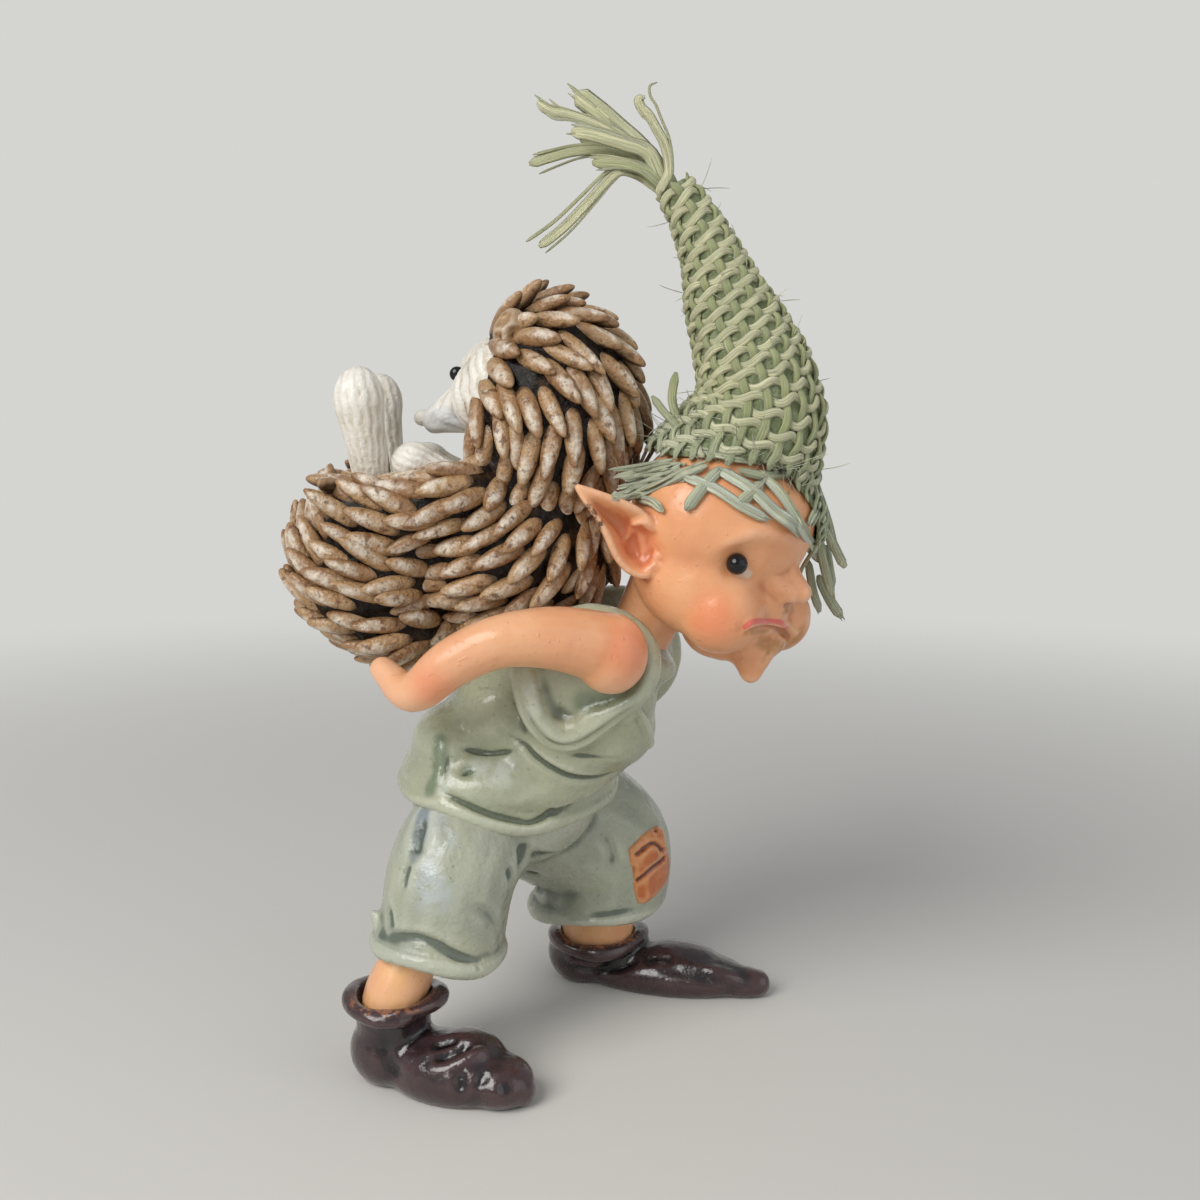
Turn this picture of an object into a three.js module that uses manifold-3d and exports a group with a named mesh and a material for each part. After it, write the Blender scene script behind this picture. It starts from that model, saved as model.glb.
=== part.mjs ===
// A cold-cast resin garden ornament: a goblin bent forward, with a hedgehog lying on its back.
// The castings are glued together over wire pins, and a hat of open-weave jute is glued on the head.
// Millimetres. +X is the way the goblin walks, -Y is its right side, +Z is up.
import * as THREE from "three";
import { LoftGeometry } from "three/addons/geometries/LoftGeometry.js";
import { mergeVertices } from "three/addons/utils/BufferGeometryUtils.js";
import Module from "manifold-3d";

const wasm = await Module();
wasm.setup();

// Joints between castings
const SEAM_GAP = 0.35;
const PIN_RADIUS = 0.8;
const PIN_CLEARANCE = 0.3;
const PIN_SIDES = 10;
const EDGE_ROUNDING = 1.2;
const SEAM_ROUNDING = 0.5;

// Facet size of each kind of casting
const PATCH_FACET = 1.4;
const SMALL_FACET = 2.1;
const FACE_FACET = 2.2;
const BODY_FACET = 3.35;
const COAT_FACET = 4.3;

// Boots: the right one is short and slouched, the left one long and flat
const RIGHT_BOOT_LENGTH = 23.4;
const RIGHT_BOOT_WIDTH = 10.4;
const RIGHT_BOOT_VAMP_HEIGHT = 6.6;
const RIGHT_BOOT_CUFF_HEIGHT = 9.6;
const RIGHT_BOOT_CUFF_RADIUS = 4.9;
const RIGHT_BOOT_CUFF_LEAD = 0.4;
const RIGHT_BOOT_TURN = -23;
const LEFT_BOOT_LENGTH = 31;
const LEFT_BOOT_WIDTH = 10;
const LEFT_BOOT_VAMP_HEIGHT = 5.6;
const LEFT_BOOT_CUFF_HEIGHT = 6;
const LEFT_BOOT_CUFF_RADIUS = 5.7;
const LEFT_BOOT_CUFF_LEAD = 2;
const LEFT_BOOT_TURN = -16;
const BOOT_HEEL_RADIUS = 5;
const BOOT_TOE_RADIUS = 1.7;
const BOOT_CUFF_ROLL = 1;
const BOOT_SOLE = 1.5;

// Where the heels stand: the right foot trails, the left foot leads
const RIGHT_HEEL = at(-19.3, -13.2, 0);
const LEFT_HEEL = at(2.7, 14, 0);

// Legs
const RIGHT_ANKLE_RADIUS = 3.3;
const LEFT_ANKLE_RADIUS = 4.9;
const ANKLE_SOCKET_DEPTH = 5;

// Trousers
const HIPS = at(-7, 0.5, 29);
const HIP_HALF_LENGTH = 11.5;
const HIP_HALF_WIDTH = 12;
const HIP_HALF_HEIGHT = 7.5;
const WAIST_TENON_RADIUS = 6;
const WAIST_RISE = 2.2;
const WAIST_ARCH_RADIUS = 26;
const RIGHT_LEG_RADIUS = 7.3;
const RIGHT_HEM_HEIGHT = 15;
const RIGHT_HEM_TILT = 8;
const LEFT_LEG_RADIUS = 9;
const LEFT_HEM_HEIGHT = 11.6;
const LEFT_HEM_TILT = -5;
const HEM_ROLL = 1.25;
const PATCH_WIDTH = 7.4;
const PATCH_HEIGHT = 9.4;
const PATCH_RISE = 0.7;
const PATCH_DEPTH = 1.4;

// Tunic, from the hips to the collar
const TUNIC_HALF_WIDTH = 13.2;
const CHEST = at(4, 0, 43.5);
const CHEST_HALF_WIDTH = 11.6;
const COLLAR_RADIUS = 5.9;
const COLLAR_ROLL = 1.3;
const ARMHOLE_RADIUS = 7.4;
const ARMHOLE_ROLL = 1.3;
const TUNIC_HEM_ROLL = 1.2;

// Arms, bent back under the hedgehog
const SHOULDER_RADIUS = 4.1;
const ELBOW_RADIUS = 3.3;
const HAND_RADIUS = 2.4;
const FAR_SHOULDER_LEAD = 3;

// Head, looking down and turned to its right
const HEAD = at(17.5, -3.9, 64);
const HEAD_TURN = -28;
const HEAD_BOW = 26;
const SKULL_HALF_LENGTH = 10.6;
const SKULL_HALF_WIDTH = 12;
const SKULL_HALF_HEIGHT = 9.8;
const NECK_RADIUS = 4.6;
const NOSE_LENGTH = 15.6;
const CHIN_LENGTH = 19.2;
const EAR_LENGTH = 13;
const EAR_HALF_HEIGHT = 6.2;
const EAR_FLATNESS = 0.42;
const EAR_TIP_RADIUS = 1;
const EYE_RADIUS = 1.3;
const BEAD_SIDES = 10;

// Hedgehog
const HOG_HALF_WIDTH = 13;
const HOG_RUMP_RADIUS = 11;
const HOG_BACK_RADIUS = 12;
const HOG_HEAD_RADIUS = 11.6;
const SPINE_LENGTH = 9.6;
const SPINE_RADIUS = 1.7;
const SPINE_ROW_PITCH = 7.4;
const SPINE_PITCH = 5.9;
const SPINE_LIFT = 13;
const SPINE_ROLL = 9;
const HIND_FOOT_LENGTH = 11;
const HIND_FOOT_RADIUS = 3;
const HOG_NOSE_RADIUS = 1.1;
const HOG_EYE_RADIUS = 0.9;

// Hat
const HAT_CLOTH = 1.3;
const HAT_EASE = 0.6;
const HAT_HEIGHT = 34.5;
const HAT_SIDES = 16;
const FRINGE_STRANDS = 15;
const FRINGE_LENGTH = 7;
const STRAND_RADIUS = 0.62;
const TASSEL_LENGTH = 16;
const TASSEL_STRANDS = 8;

function at(x, y, z) {
  return new THREE.Vector3(x, y, z);
}

const rad = THREE.MathUtils.degToRad;
const lerp = THREE.MathUtils.lerp;

// Clay: a shape is its signed distance, negative inside, and the box that holds it.
const boxAround = (centre, reach) =>
  new THREE.Box3().setFromCenterAndSize(centre, reach.clone().multiplyScalar(2));

function lump(centre, half) {
  const scaled = new THREE.Vector3();
  return {
    far(p) {
      scaled.copy(p).sub(centre).divide(half);
      const inside = scaled.length();
      const slope = scaled.divide(half).length();
      return slope < 1e-9 ? -Math.min(half.x, half.y, half.z) : (inside * (inside - 1)) / slope;
    },
    box: boxAround(centre, half),
  };
}

// A run of tapered round lengths through points, each with its own radius.
function limb(points, radii) {
  const box = new THREE.Box3();
  points.forEach((p, i) => box.union(boxAround(p, at(radii[i], radii[i], radii[i]))));
  const along = points.slice(1).map((p, i) => p.clone().sub(points[i]));
  const reach = along.map((v) => v.lengthSq());
  const from = new THREE.Vector3();
  return {
    far(p) {
      let best = Infinity;
      for (let i = 0; i < along.length; i++) {
        from.copy(p).sub(points[i]);
        const t = THREE.MathUtils.clamp(from.dot(along[i]) / reach[i], 0, 1);
        from.addScaledVector(along[i], -t);
        best = Math.min(best, from.length() - lerp(radii[i], radii[i + 1], t));
      }
      return best;
    },
    box,
  };
}

// The same limb, bent smoothly through its points.
function bentLimb(points, radii, steps = 4) {
  const curve = new THREE.CatmullRomCurve3(points);
  const count = (points.length - 1) * steps;
  const radiusAt = (t) => {
    const i = Math.min(Math.floor(t * (radii.length - 1)), radii.length - 2);
    return lerp(radii[i], radii[i + 1], t * (radii.length - 1) - i);
  };
  const shares = Array.from({ length: count + 1 }, (_, i) => i / count);
  return limb(shares.map((t) => curve.getPoint(t)), shares.map(radiusAt));
}

function blend(softness, ...shapes) {
  const box = new THREE.Box3();
  shapes.forEach((s) => box.union(s.box));
  return {
    far(p) {
      let d = shapes[0].far(p);
      for (const s of shapes.slice(1)) {
        const e = s.far(p);
        const h = Math.max(softness - Math.abs(d - e), 0) / softness;
        d = Math.min(d, e) - (h * h * softness) / 4;
      }
      return d;
    },
    box,
  };
}

// What is left of a shape inside every tool, with its new edges rounded off.
const keep = (rounding, shape, ...tools) => ({
  far(p) {
    let d = shape.far(p);
    for (const tool of tools) {
      const e = tool.far(p);
      const h = Math.max(rounding - Math.abs(d - e), 0) / rounding;
      d = Math.max(d, e) + (h * h * rounding) / 4;
    }
    return d;
  },
  box: shape.box,
});

const outside = (shape) => ({ far: (p) => -shape.far(p) });
const cut = (rounding, shape, ...tools) => keep(rounding, shape, ...tools.map(outside));

const grow = (shape, by) => ({
  far: (p) => shape.far(p) - by,
  box: shape.box.clone().expandByScalar(by),
});

// Neighbours grown by the seam, and by the sag of a facet of the piece that makes room for them
const FACET_SAG = 0.12;
const clearOf = (facet, ...shapes) => shapes.map((s) => grow(s, SEAM_GAP + FACET_SAG * facet));

// Everything on the side of a plane that its normal points to.
const halfSpace = (point, normal) => {
  const n = normal.clone().normalize();
  const offset = n.dot(point);
  return { far: (p) => offset - n.dot(p) };
};

// A shape pressed thinner across its own Y.
function flattened(shape, share) {
  const local = new THREE.Vector3();
  const thin = at(1, share, 1);
  return {
    far: (p) => share * shape.far(local.copy(p).divide(thin)),
    box: new THREE.Box3(shape.box.min.clone().multiply(thin), shape.box.max.clone().multiply(thin)),
  };
}

// A shape made in its own frame, then set in place.
function placed(shape, matrix) {
  const back = matrix.clone().invert();
  const local = new THREE.Vector3();
  return {
    far: (p) => shape.far(local.copy(p).applyMatrix4(back)),
    box: shape.box.clone().applyMatrix4(matrix),
  };
}

// Skins a clay shape with facets of about one cell: one corner for each sheet of surface in a cell.
// A cell's twelve edges are numbered 4 * axis + side: side holds the offsets along the two other axes.
function skin(shape, cell, nudge = 0) {
  const low = shape.box.min.clone().subScalar((1.5 + nudge) * cell);
  const size = shape.box.max.clone().sub(low).addScalar(1.5 * cell);
  const [nx, ny, nz] = size.toArray().map((s) => Math.ceil(s / cell) + 1);
  const strides = [1, nx, nx * ny];
  const p = new THREE.Vector3();
  const values = new Float32Array(nx * ny * nz);
  for (let home = 0; home < values.length; home++) {
    p.set(home % nx, Math.floor(home / nx) % ny, Math.floor(home / (nx * ny)));
    values[home] = shape.far(p.multiplyScalar(cell).add(low));
  }

  const corners = [];
  const cornerOf = new Int32Array(12 * values.length).fill(-1);
  for (let k = 0; k < nz - 1; k++)
    for (let j = 0; j < ny - 1; j++)
      for (let i = 0; i < nx - 1; i++) {
        const home = i + nx * j + nx * ny * k;
        const crossings = cellCrossings(values, strides, home, p.set(i, j, k));
        for (const sheet of sheetsOf(values, strides, home, crossings)) {
          const corner = new THREE.Vector3();
          sheet.forEach((edge) => corner.add(crossings.get(edge)));
          corner.divideScalar(sheet.length).multiplyScalar(cell).add(low);
          settle(corner, shape, cell);
          sheet.forEach((edge) => (cornerOf[12 * home + edge] = corners.length / 3));
          corners.push(corner.x, corner.y, corner.z);
        }
      }

  const faces = [];
  for (let home = 0; home < values.length; home++)
    for (let axis = 0; axis < 3; axis++) {
      const inside = values[home] < 0;
      if (inside === values[home + strides[axis]] < 0) continue;
      if (home + strides[axis] >= values.length) continue;
      const u = strides[(axis + 1) % 3];
      const v = strides[(axis + 2) % 3];
      const around = [home - u - v, home - v, home, home - u];
      const ring = [3, 2, 0, 1].map((side, n) => cornerOf[12 * around[n] + 4 * axis + side]);
      if (!inside) ring.reverse();
      faces.push(ring[0], ring[1], ring[2], ring[0], ring[2], ring[3]);
    }
  if (pinched(faces)) return nudge < 0.8 ? skin(shape, cell, nudge + 0.13) : skin(shape, 0.94 * cell);
  return solidFrom(new Float32Array(corners), new Uint32Array(faces));
}

// Whether the surface touches itself along an edge, which a grid nudged aside or drawn finer avoids.
function pinched(faces) {
  const seen = new Set();
  for (let i = 0; i < faces.length; i++) {
    const next = i % 3 === 2 ? i - 2 : i + 1;
    const edge = faces[i] + ":" + faces[next];
    if (seen.has(edge)) return true;
    seen.add(edge);
  }
  return false;
}

// Where the surface crosses the edges of one cell, in cells.
function cellCrossings(values, strides, home, cellAt) {
  const crossings = new Map();
  for (let edge = 0; edge < 12; edge++) {
    const axis = edge >> 2;
    const first = (axis + 1) % 3;
    const second = (axis + 2) % 3;
    const start = home + (edge & 1) * strides[first] + ((edge >> 1) & 1) * strides[second];
    const from = values[start];
    const to = values[start + strides[axis]];
    if (from < 0 === to < 0) continue;
    const point = cellAt.clone();
    point.setComponent(first, point.getComponent(first) + (edge & 1));
    point.setComponent(second, point.getComponent(second) + ((edge >> 1) & 1));
    crossings.set(edge, point.setComponent(axis, point.getComponent(axis) + from / (from - to)));
  }
  return crossings;
}

// Groups a cell's crossed edges into sheets, by following the surface across the cell's six sides.
function sheetsOf(values, strides, home, crossings) {
  const group = new Map([...crossings.keys()].map((edge) => [edge, edge]));
  const join = (a, b) => {
    const from = group.get(a);
    const to = group.get(b);
    group.forEach((g, edge) => g === from && group.set(edge, to));
  };
  for (let normal = 0; normal < 3; normal++)
    for (let o = 0; o < 2; o++) {
      const a = (normal + 1) % 3;
      const b = (normal + 2) % 3;
      const alongA = (offset) => 4 * a + offset + 2 * o;
      const alongB = (offset) => 4 * b + o + 2 * offset;
      const crossed = [alongA(0), alongA(1), alongB(0), alongB(1)].filter((edge) => crossings.has(edge));
      if (crossed.length === 2) join(crossed[0], crossed[1]);
      if (crossed.length !== 4) continue;
      for (const [s, t] of [[0, 0], [0, 1], [1, 0], [1, 1]]) {
        const corner = home + o * strides[normal] + s * strides[a] + t * strides[b];
        if (values[corner] < 0) join(alongA(t), alongB(s));
      }
    }
  const sheets = new Map();
  group.forEach((g, edge) => sheets.set(g, [...(sheets.get(g) || []), edge]));
  return sheets.values();
}

// Moves a corner along the slope until it lies on the surface, by half a cell at most.
function settle(p, shape, cell) {
  const probe = 0.05;
  const slope = new THREE.Vector3();
  const q = new THREE.Vector3();
  for (let pass = 0; pass < 2; pass++) {
    const d = shape.far(p);
    for (let axis = 0; axis < 3; axis++) {
      q.copy(p).setComponent(axis, p.getComponent(axis) + probe);
      slope.setComponent(axis, (shape.far(q) - d) / probe);
    }
    if (slope.lengthSq() < 0.05) return;
    p.addScaledVector(slope, THREE.MathUtils.clamp(-d / slope.lengthSq(), -cell / 4, cell / 4));
  }
}

// Solids for joining and cutting
function solidFrom(vertProperties, triVerts) {
  return new wasm.Manifold(new wasm.Mesh({ numProp: 3, vertProperties, triVerts }));
}

function solidOf(geometry, matrix = new THREE.Matrix4()) {
  const bare = new THREE.BufferGeometry().copy(geometry).applyMatrix4(matrix);
  bare.deleteAttribute("normal");
  bare.deleteAttribute("uv");
  const merged = mergeVertices(bare, 1e-4);
  return solidFrom(merged.attributes.position.array, new Uint32Array(merged.index.array));
}

function geometryOf(solid) {
  const mesh = solid.getMesh();
  const geometry = new THREE.BufferGeometry();
  geometry.setAttribute("position", new THREE.BufferAttribute(mesh.vertProperties, 3));
  geometry.setIndex(new THREE.BufferAttribute(mesh.triVerts, 1));
  geometry.computeVertexNormals();
  return geometry;
}

function rod(from, to, radius) {
  const axis = to.clone().sub(from);
  const turn = new THREE.Quaternion().setFromUnitVectors(at(0, 1, 0), axis.clone().normalize());
  const middle = from.clone().add(to).multiplyScalar(0.5);
  const place = new THREE.Matrix4().compose(middle, turn, at(1, 1, 1));
  return solidOf(new THREE.CylinderGeometry(radius, radius, axis.length(), PIN_SIDES), place);
}

const drilled = (solid, pin) => solid.subtract(rod(pin.from, pin.to, PIN_RADIUS + PIN_CLEARANCE));

// A rolled edge: a round bead along a closed line.
const ROLL_SIDES = 5;
const ROLL_STEPS = 18;
function rolled(points, radius) {
  const line = new THREE.CatmullRomCurve3(points, true);
  return solidOf(new THREE.TubeGeometry(line, ROLL_STEPS, radius, ROLL_SIDES, true));
}

function oval(centre, halfAcross, halfAlong, turn) {
  return Array.from({ length: ROLL_STEPS }, (_, i) => {
    const a = (i / ROLL_STEPS) * 2 * Math.PI;
    return at(halfAcross * Math.cos(a), halfAlong * Math.sin(a), 0).applyEuler(turn).add(centre);
  });
}

// A yarn: a flattened round section swept along points, closed to a point at each end.
function strand(points, radius, flatness = 1, sides = 4) {
  const curve = new THREE.CatmullRomCurve3(points);
  const steps = points.length + 1;
  const frames = curve.computeFrenetFrames(steps, false);
  const corners = [curve.getPointAt(0), curve.getPointAt(1)];
  const faces = [];
  for (let row = 0; row <= steps; row++)
    for (let n = 0; n < sides; n++) {
      const a = (n / sides) * 2 * Math.PI;
      const corner = curve
        .getPointAt(row / steps)
        .addScaledVector(frames.normals[row], Math.cos(a) * radius)
        .addScaledVector(frames.binormals[row], Math.sin(a) * radius * flatness);
      corners.push(corner);
      const here = 2 + row * sides + n;
      const next = 2 + row * sides + ((n + 1) % sides);
      if (row === 0) faces.push(0, next, here);
      else faces.push(here - sides, next - sides, next, here - sides, next, here);
      if (row === steps) faces.push(1, here, next);
    }
  return solidFrom(new Float32Array(corners.flatMap((c) => c.toArray())), new Uint32Array(faces));
}

const goblin = new THREE.Group();
goblin.name = "goblin_ornament";

const paint = (color, roughness) => new THREE.MeshStandardMaterial({ color, roughness, metalness: 0 });
const SKIN = paint(0xe8a06c, 0.45);
const BOOT_BROWN = paint(0x2a1a1c, 0.25);
const TROUSER_GREEN = paint(0x9aa391, 0.4);
const TUNIC_GREEN = paint(0xa3ab90, 0.4);
const PATCH_ORANGE = paint(0xb4511a, 0.35);
const COAT_BROWN = paint(0x9a7350, 0.55);
const FUR_CREAM = paint(0xe9e0cf, 0.55);
const BEAD_BLACK = paint(0x0b0b0d, 0.08);
const JUTE_GREEN = paint(0xa9bb8a, 0.85);
const WIRE = new THREE.MeshStandardMaterial({ color: 0x8d9093, roughness: 0.4, metalness: 1 });

// A casting is its largest body: slivers thinner than a facet would not leave the mould.
function add(name, solid, material) {
  const bodies = solid.decompose();
  const casting = bodies.reduce((a, b) => (a.volume() > b.volume() ? a : b));
  const mesh = new THREE.Mesh(geometryOf(casting), material);
  mesh.name = name;
  goblin.add(mesh);
}

// Boots
function bootShape(heel, turn, length, width, vampHeight, cuff, cuffRadius) {
  const toeEnd = length - BOOT_HEEL_RADIUS - BOOT_TOE_RADIUS;
  const ballAt = 0.45 * toeEnd;
  const ball = at(ballAt, 0, 0.42 * vampHeight);
  const cuffAt = at(cuff.lead, 0, cuff.height);
  const heelHeight = 0.75 * BOOT_HEEL_RADIUS;
  const shape = blend(
    1.6,
    lump(at(0, 0, heelHeight), at(BOOT_HEEL_RADIUS, 0.95 * BOOT_HEEL_RADIUS, 0.9 * BOOT_HEEL_RADIUS)),
    lump(at(ballAt, 0, 0.38 * vampHeight), at(0.52 * toeEnd, width / 2, 0.62 * vampHeight)),
    limb([ball, at(toeEnd, 0, BOOT_TOE_RADIUS)], [0.5 * vampHeight, BOOT_TOE_RADIUS]),
    limb([at(0, 0, heelHeight), cuffAt], [0.8 * cuffRadius, cuffRadius]),
  );
  const belowCuff = halfSpace(cuffAt, at(0, 0, -1));
  const place = new THREE.Matrix4().makeRotationZ(rad(turn)).setPosition(heel);
  return placed(keep(EDGE_ROUNDING, shape, belowCuff), place);
}

const rightCuff = { lead: RIGHT_BOOT_CUFF_LEAD, height: RIGHT_BOOT_CUFF_HEIGHT };
const leftCuff = { lead: LEFT_BOOT_CUFF_LEAD, height: LEFT_BOOT_CUFF_HEIGHT };
const rightBoot = bootShape(
  RIGHT_HEEL,
  RIGHT_BOOT_TURN,
  RIGHT_BOOT_LENGTH,
  RIGHT_BOOT_WIDTH,
  RIGHT_BOOT_VAMP_HEIGHT,
  rightCuff,
  RIGHT_BOOT_CUFF_RADIUS,
);
const leftBoot = bootShape(
  LEFT_HEEL,
  LEFT_BOOT_TURN,
  LEFT_BOOT_LENGTH,
  LEFT_BOOT_WIDTH,
  LEFT_BOOT_VAMP_HEIGHT,
  leftCuff,
  LEFT_BOOT_CUFF_RADIUS,
);

// Ankles: each stands in its boot and runs up inside its trouser leg
const rightHem = at(-13.8, -11.3, RIGHT_HEM_HEIGHT);
const leftHem = at(4.6, 12, LEFT_HEM_HEIGHT);

function ankleRun(heel, turn, cuff, hem, radius) {
  const footRadius = 0.5 * radius;
  const lead = at(cuff.lead, 0, 0).applyAxisAngle(at(0, 0, 1), rad(turn)).add(heel);
  const foot = lead.clone().setZ(BOOT_SOLE + footRadius);
  const top = hem.clone().setZ(hem.z + ANKLE_SOCKET_DEPTH);
  return { points: [foot, lead.clone().setZ(cuff.height), top], radii: [footRadius, 0.8 * radius, radius] };
}

const rightRun = ankleRun(RIGHT_HEEL, RIGHT_BOOT_TURN, rightCuff, rightHem, RIGHT_ANKLE_RADIUS);
const leftRun = ankleRun(LEFT_HEEL, LEFT_BOOT_TURN, leftCuff, leftHem, LEFT_ANKLE_RADIUS);
const rightAnkle = limb(rightRun.points, rightRun.radii);
const leftAnkle = limb(leftRun.points, leftRun.radii);

// A wire starts inside the ankle and ends in the trouser leg.
function legPin(run) {
  const [, cuff, top] = run.points;
  const axis = top.clone().sub(cuff).normalize();
  return { from: cuff.clone(), to: top.clone().addScaledVector(axis, run.radii[2] + 2.5) };
}
const rightLegPin = legPin(rightRun);
const leftLegPin = legPin(leftRun);

const FLOOR_DEPTH = 20;
const FLOOR_SIDE = 400;
const floor = solidOf(
  new THREE.BoxGeometry(FLOOR_SIDE, FLOOR_SIDE, FLOOR_DEPTH),
  new THREE.Matrix4().makeTranslation(0, 0, -FLOOR_DEPTH / 2),
);

// Room for one shape, cut out of another's solid
const roomFor = (shape, facet) => skin(clearOf(facet, shape)[0], facet);
const LEVEL = new THREE.Euler();
const bootSolid = (shape, run, cuffRadius, ankle) =>
  skin(shape, SMALL_FACET)
    .add(rolled(oval(run.points[1], cuffRadius, cuffRadius, LEVEL), BOOT_CUFF_ROLL))
    .subtract(floor)
    .subtract(roomFor(ankle, SMALL_FACET));
add("right_boot", bootSolid(rightBoot, rightRun, RIGHT_BOOT_CUFF_RADIUS, rightAnkle), BOOT_BROWN);
add("left_boot", bootSolid(leftBoot, leftRun, LEFT_BOOT_CUFF_RADIUS, leftAnkle), BOOT_BROWN);
add("right_ankle", drilled(skin(rightAnkle, SMALL_FACET), rightLegPin), SKIN);
add("left_ankle", drilled(skin(leftAnkle, SMALL_FACET), leftLegPin), SKIN);
add("right_leg_pin", rod(rightLegPin.from, rightLegPin.to, PIN_RADIUS), WIRE);
add("left_leg_pin", rod(leftLegPin.from, leftLegPin.to, PIN_RADIUS), WIRE);

// Trousers: two barrel legs from the hips, each with a rolled hem, and a tenon that stands up into the tunic
const waist = HIPS.clone().add(at(0, 0, WAIST_RISE));
const waistArch = {
  far: (p) => Math.hypot(p.y - waist.y, p.z - waist.z + WAIST_ARCH_RADIUS) - WAIST_ARCH_RADIUS,
};

const trouserLeg = (hip, knee, hem, radius) =>
  limb([hip, knee, hem.clone().setZ(hem.z - radius)], [radius * 1.05, radius * 1.03, radius]);

const rightLeg = trouserLeg(
  HIPS.clone().add(at(-2.5, -5.5, -1)),
  rightHem.clone().add(at(1.2, 1, 8.5)),
  rightHem,
  RIGHT_LEG_RADIUS,
);
const leftLeg = trouserLeg(
  HIPS.clone().add(at(3, 6, -2.5)),
  leftHem.clone().add(at(0.5, -1, 8.5)),
  leftHem,
  LEFT_LEG_RADIUS,
);
const hipLump = lump(HIPS, at(HIP_HALF_LENGTH, HIP_HALF_WIDTH, HIP_HALF_HEIGHT));
const belowWaist = grow({ ...waistArch, box: new THREE.Box3() }, -SEAM_GAP - FACET_SAG * BODY_FACET);
const tenon = lump(waist, at(WAIST_TENON_RADIUS, WAIST_TENON_RADIUS, 0.6 * WAIST_TENON_RADIUS));
const shirt = blend(
  3,
  lump(HIPS.clone().add(at(1, 0, 4.5)), at(13.4, TUNIC_HALF_WIDTH, 7)),
  lump(HIPS.clone().lerp(CHEST, 0.55).add(at(0, 0, 1)), at(11, 0.93 * TUNIC_HALF_WIDTH, 8)),
  lump(CHEST, at(8.2, CHEST_HALF_WIDTH, 8.4)),
  lump(HIPS.clone().add(at(12.5, -2, 9)), at(6, 9, 4.6)),
);
const underTunic = keep(EDGE_ROUNDING, blend(3, hipLump, rightLeg, leftLeg), belowWaist);
// The left thigh is lifted, so beside the tunic it stands higher than the hem.
const liftedThigh = cut(EDGE_ROUNDING, leftLeg, grow(shirt, SEAM_GAP + FACET_SAG * BODY_FACET));
const trousersBody = blend(0.5, blend(0.05, underTunic, liftedThigh), tenon);

// Knee patch: a square let into the front of the left knee, standing a little proud
const patchOut = at(0.74, -0.64, 0.2).normalize();
const patchAcross = at(0.62, 0.74, 0.26);
patchAcross.addScaledVector(patchOut, -patchAcross.dot(patchOut)).normalize();
const patchUp = patchOut.clone().cross(patchAcross);
const patchAt = leftHem.clone().add(at(6.6, -6.2, 7.4));
const patchSides = [
  [patchAcross, PATCH_WIDTH / 2],
  [patchAcross.clone().negate(), PATCH_WIDTH / 2],
  [patchUp, PATCH_HEIGHT / 2],
  [patchUp.clone().negate(), PATCH_HEIGHT / 2],
  [patchOut.clone().negate(), 5],
];
const patchBlock = keep(
  EDGE_ROUNDING,
  grow(leftLeg, PATCH_RISE),
  ...patchSides.map(([n, half]) => halfSpace(patchAt.clone().addScaledVector(n, half), n.clone().negate())),
);
const patch = cut(EDGE_ROUNDING, patchBlock, grow(leftLeg, -PATCH_DEPTH));
const pocketRoom = 1.6 * SEAM_GAP;
const pocketFloor = grow(leftLeg, -PATCH_DEPTH - pocketRoom);
const patchPocket = cut(SEAM_ROUNDING, grow(patchBlock, pocketRoom), pocketFloor);

// A leg ends at its hem: cut off level with it, then given a rolled edge.
function hemmed(solid, hem, radius, tilt) {
  const turn = new THREE.Euler(0, rad(tilt), 0);
  const side = 2 * radius + 4 * HEM_ROLL;
  const place = new THREE.Matrix4().makeRotationFromEuler(turn).setPosition(hem);
  place.multiply(new THREE.Matrix4().makeTranslation(0, 0, -side / 2));
  const edge = oval(hem, radius - 0.4 * HEM_ROLL, radius - 0.4 * HEM_ROLL, turn);
  return solid.subtract(solidOf(new THREE.BoxGeometry(side, side, side), place)).add(rolled(edge, HEM_ROLL));
}

// Arms: from the armhole back under the hedgehog, with the hand turned up under its rump
const rightShoulder = at(CHEST.x + 2, -CHEST_HALF_WIDTH - 2.4, CHEST.z + 7.3);
const leftShoulder = at(rightShoulder.x + FAR_SHOULDER_LEAD, -rightShoulder.y - 1.5, rightShoulder.z - 2);

function armShape(shoulder, side) {
  const out = (x, y, z) => shoulder.clone().add(at(x, side * y, z));
  const upper = [shoulder, out(-6, 2.5, 1.6), out(-12, 4, 1.4)];
  const lower = [out(-17.2, 4, -1), out(-21.5, 3, -4.2), out(-26, -1.6, -2.8)];
  const mid = (SHOULDER_RADIUS + ELBOW_RADIUS) / 2;
  const wrist = (ELBOW_RADIUS + HAND_RADIUS) / 2;
  const radii = [SHOULDER_RADIUS, mid, ELBOW_RADIUS, wrist, HAND_RADIUS, HAND_RADIUS];
  return bentLimb([...upper, ...lower], radii);
}
const rightArm = armShape(rightShoulder, -1);
const leftArm = armShape(leftShoulder, 1);

// Head, modelled facing +X with its left side to +Y, then bowed and turned
const headPlace = new THREE.Matrix4()
  .makeRotationZ(rad(HEAD_TURN))
  .multiply(new THREE.Matrix4().makeRotationY(rad(HEAD_BOW)))
  .setPosition(HEAD);
const onHead = (forward, left, up) => at(forward, left, up).applyMatrix4(headPlace);
const pair = (make) => [make(-1), make(1)];

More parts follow.
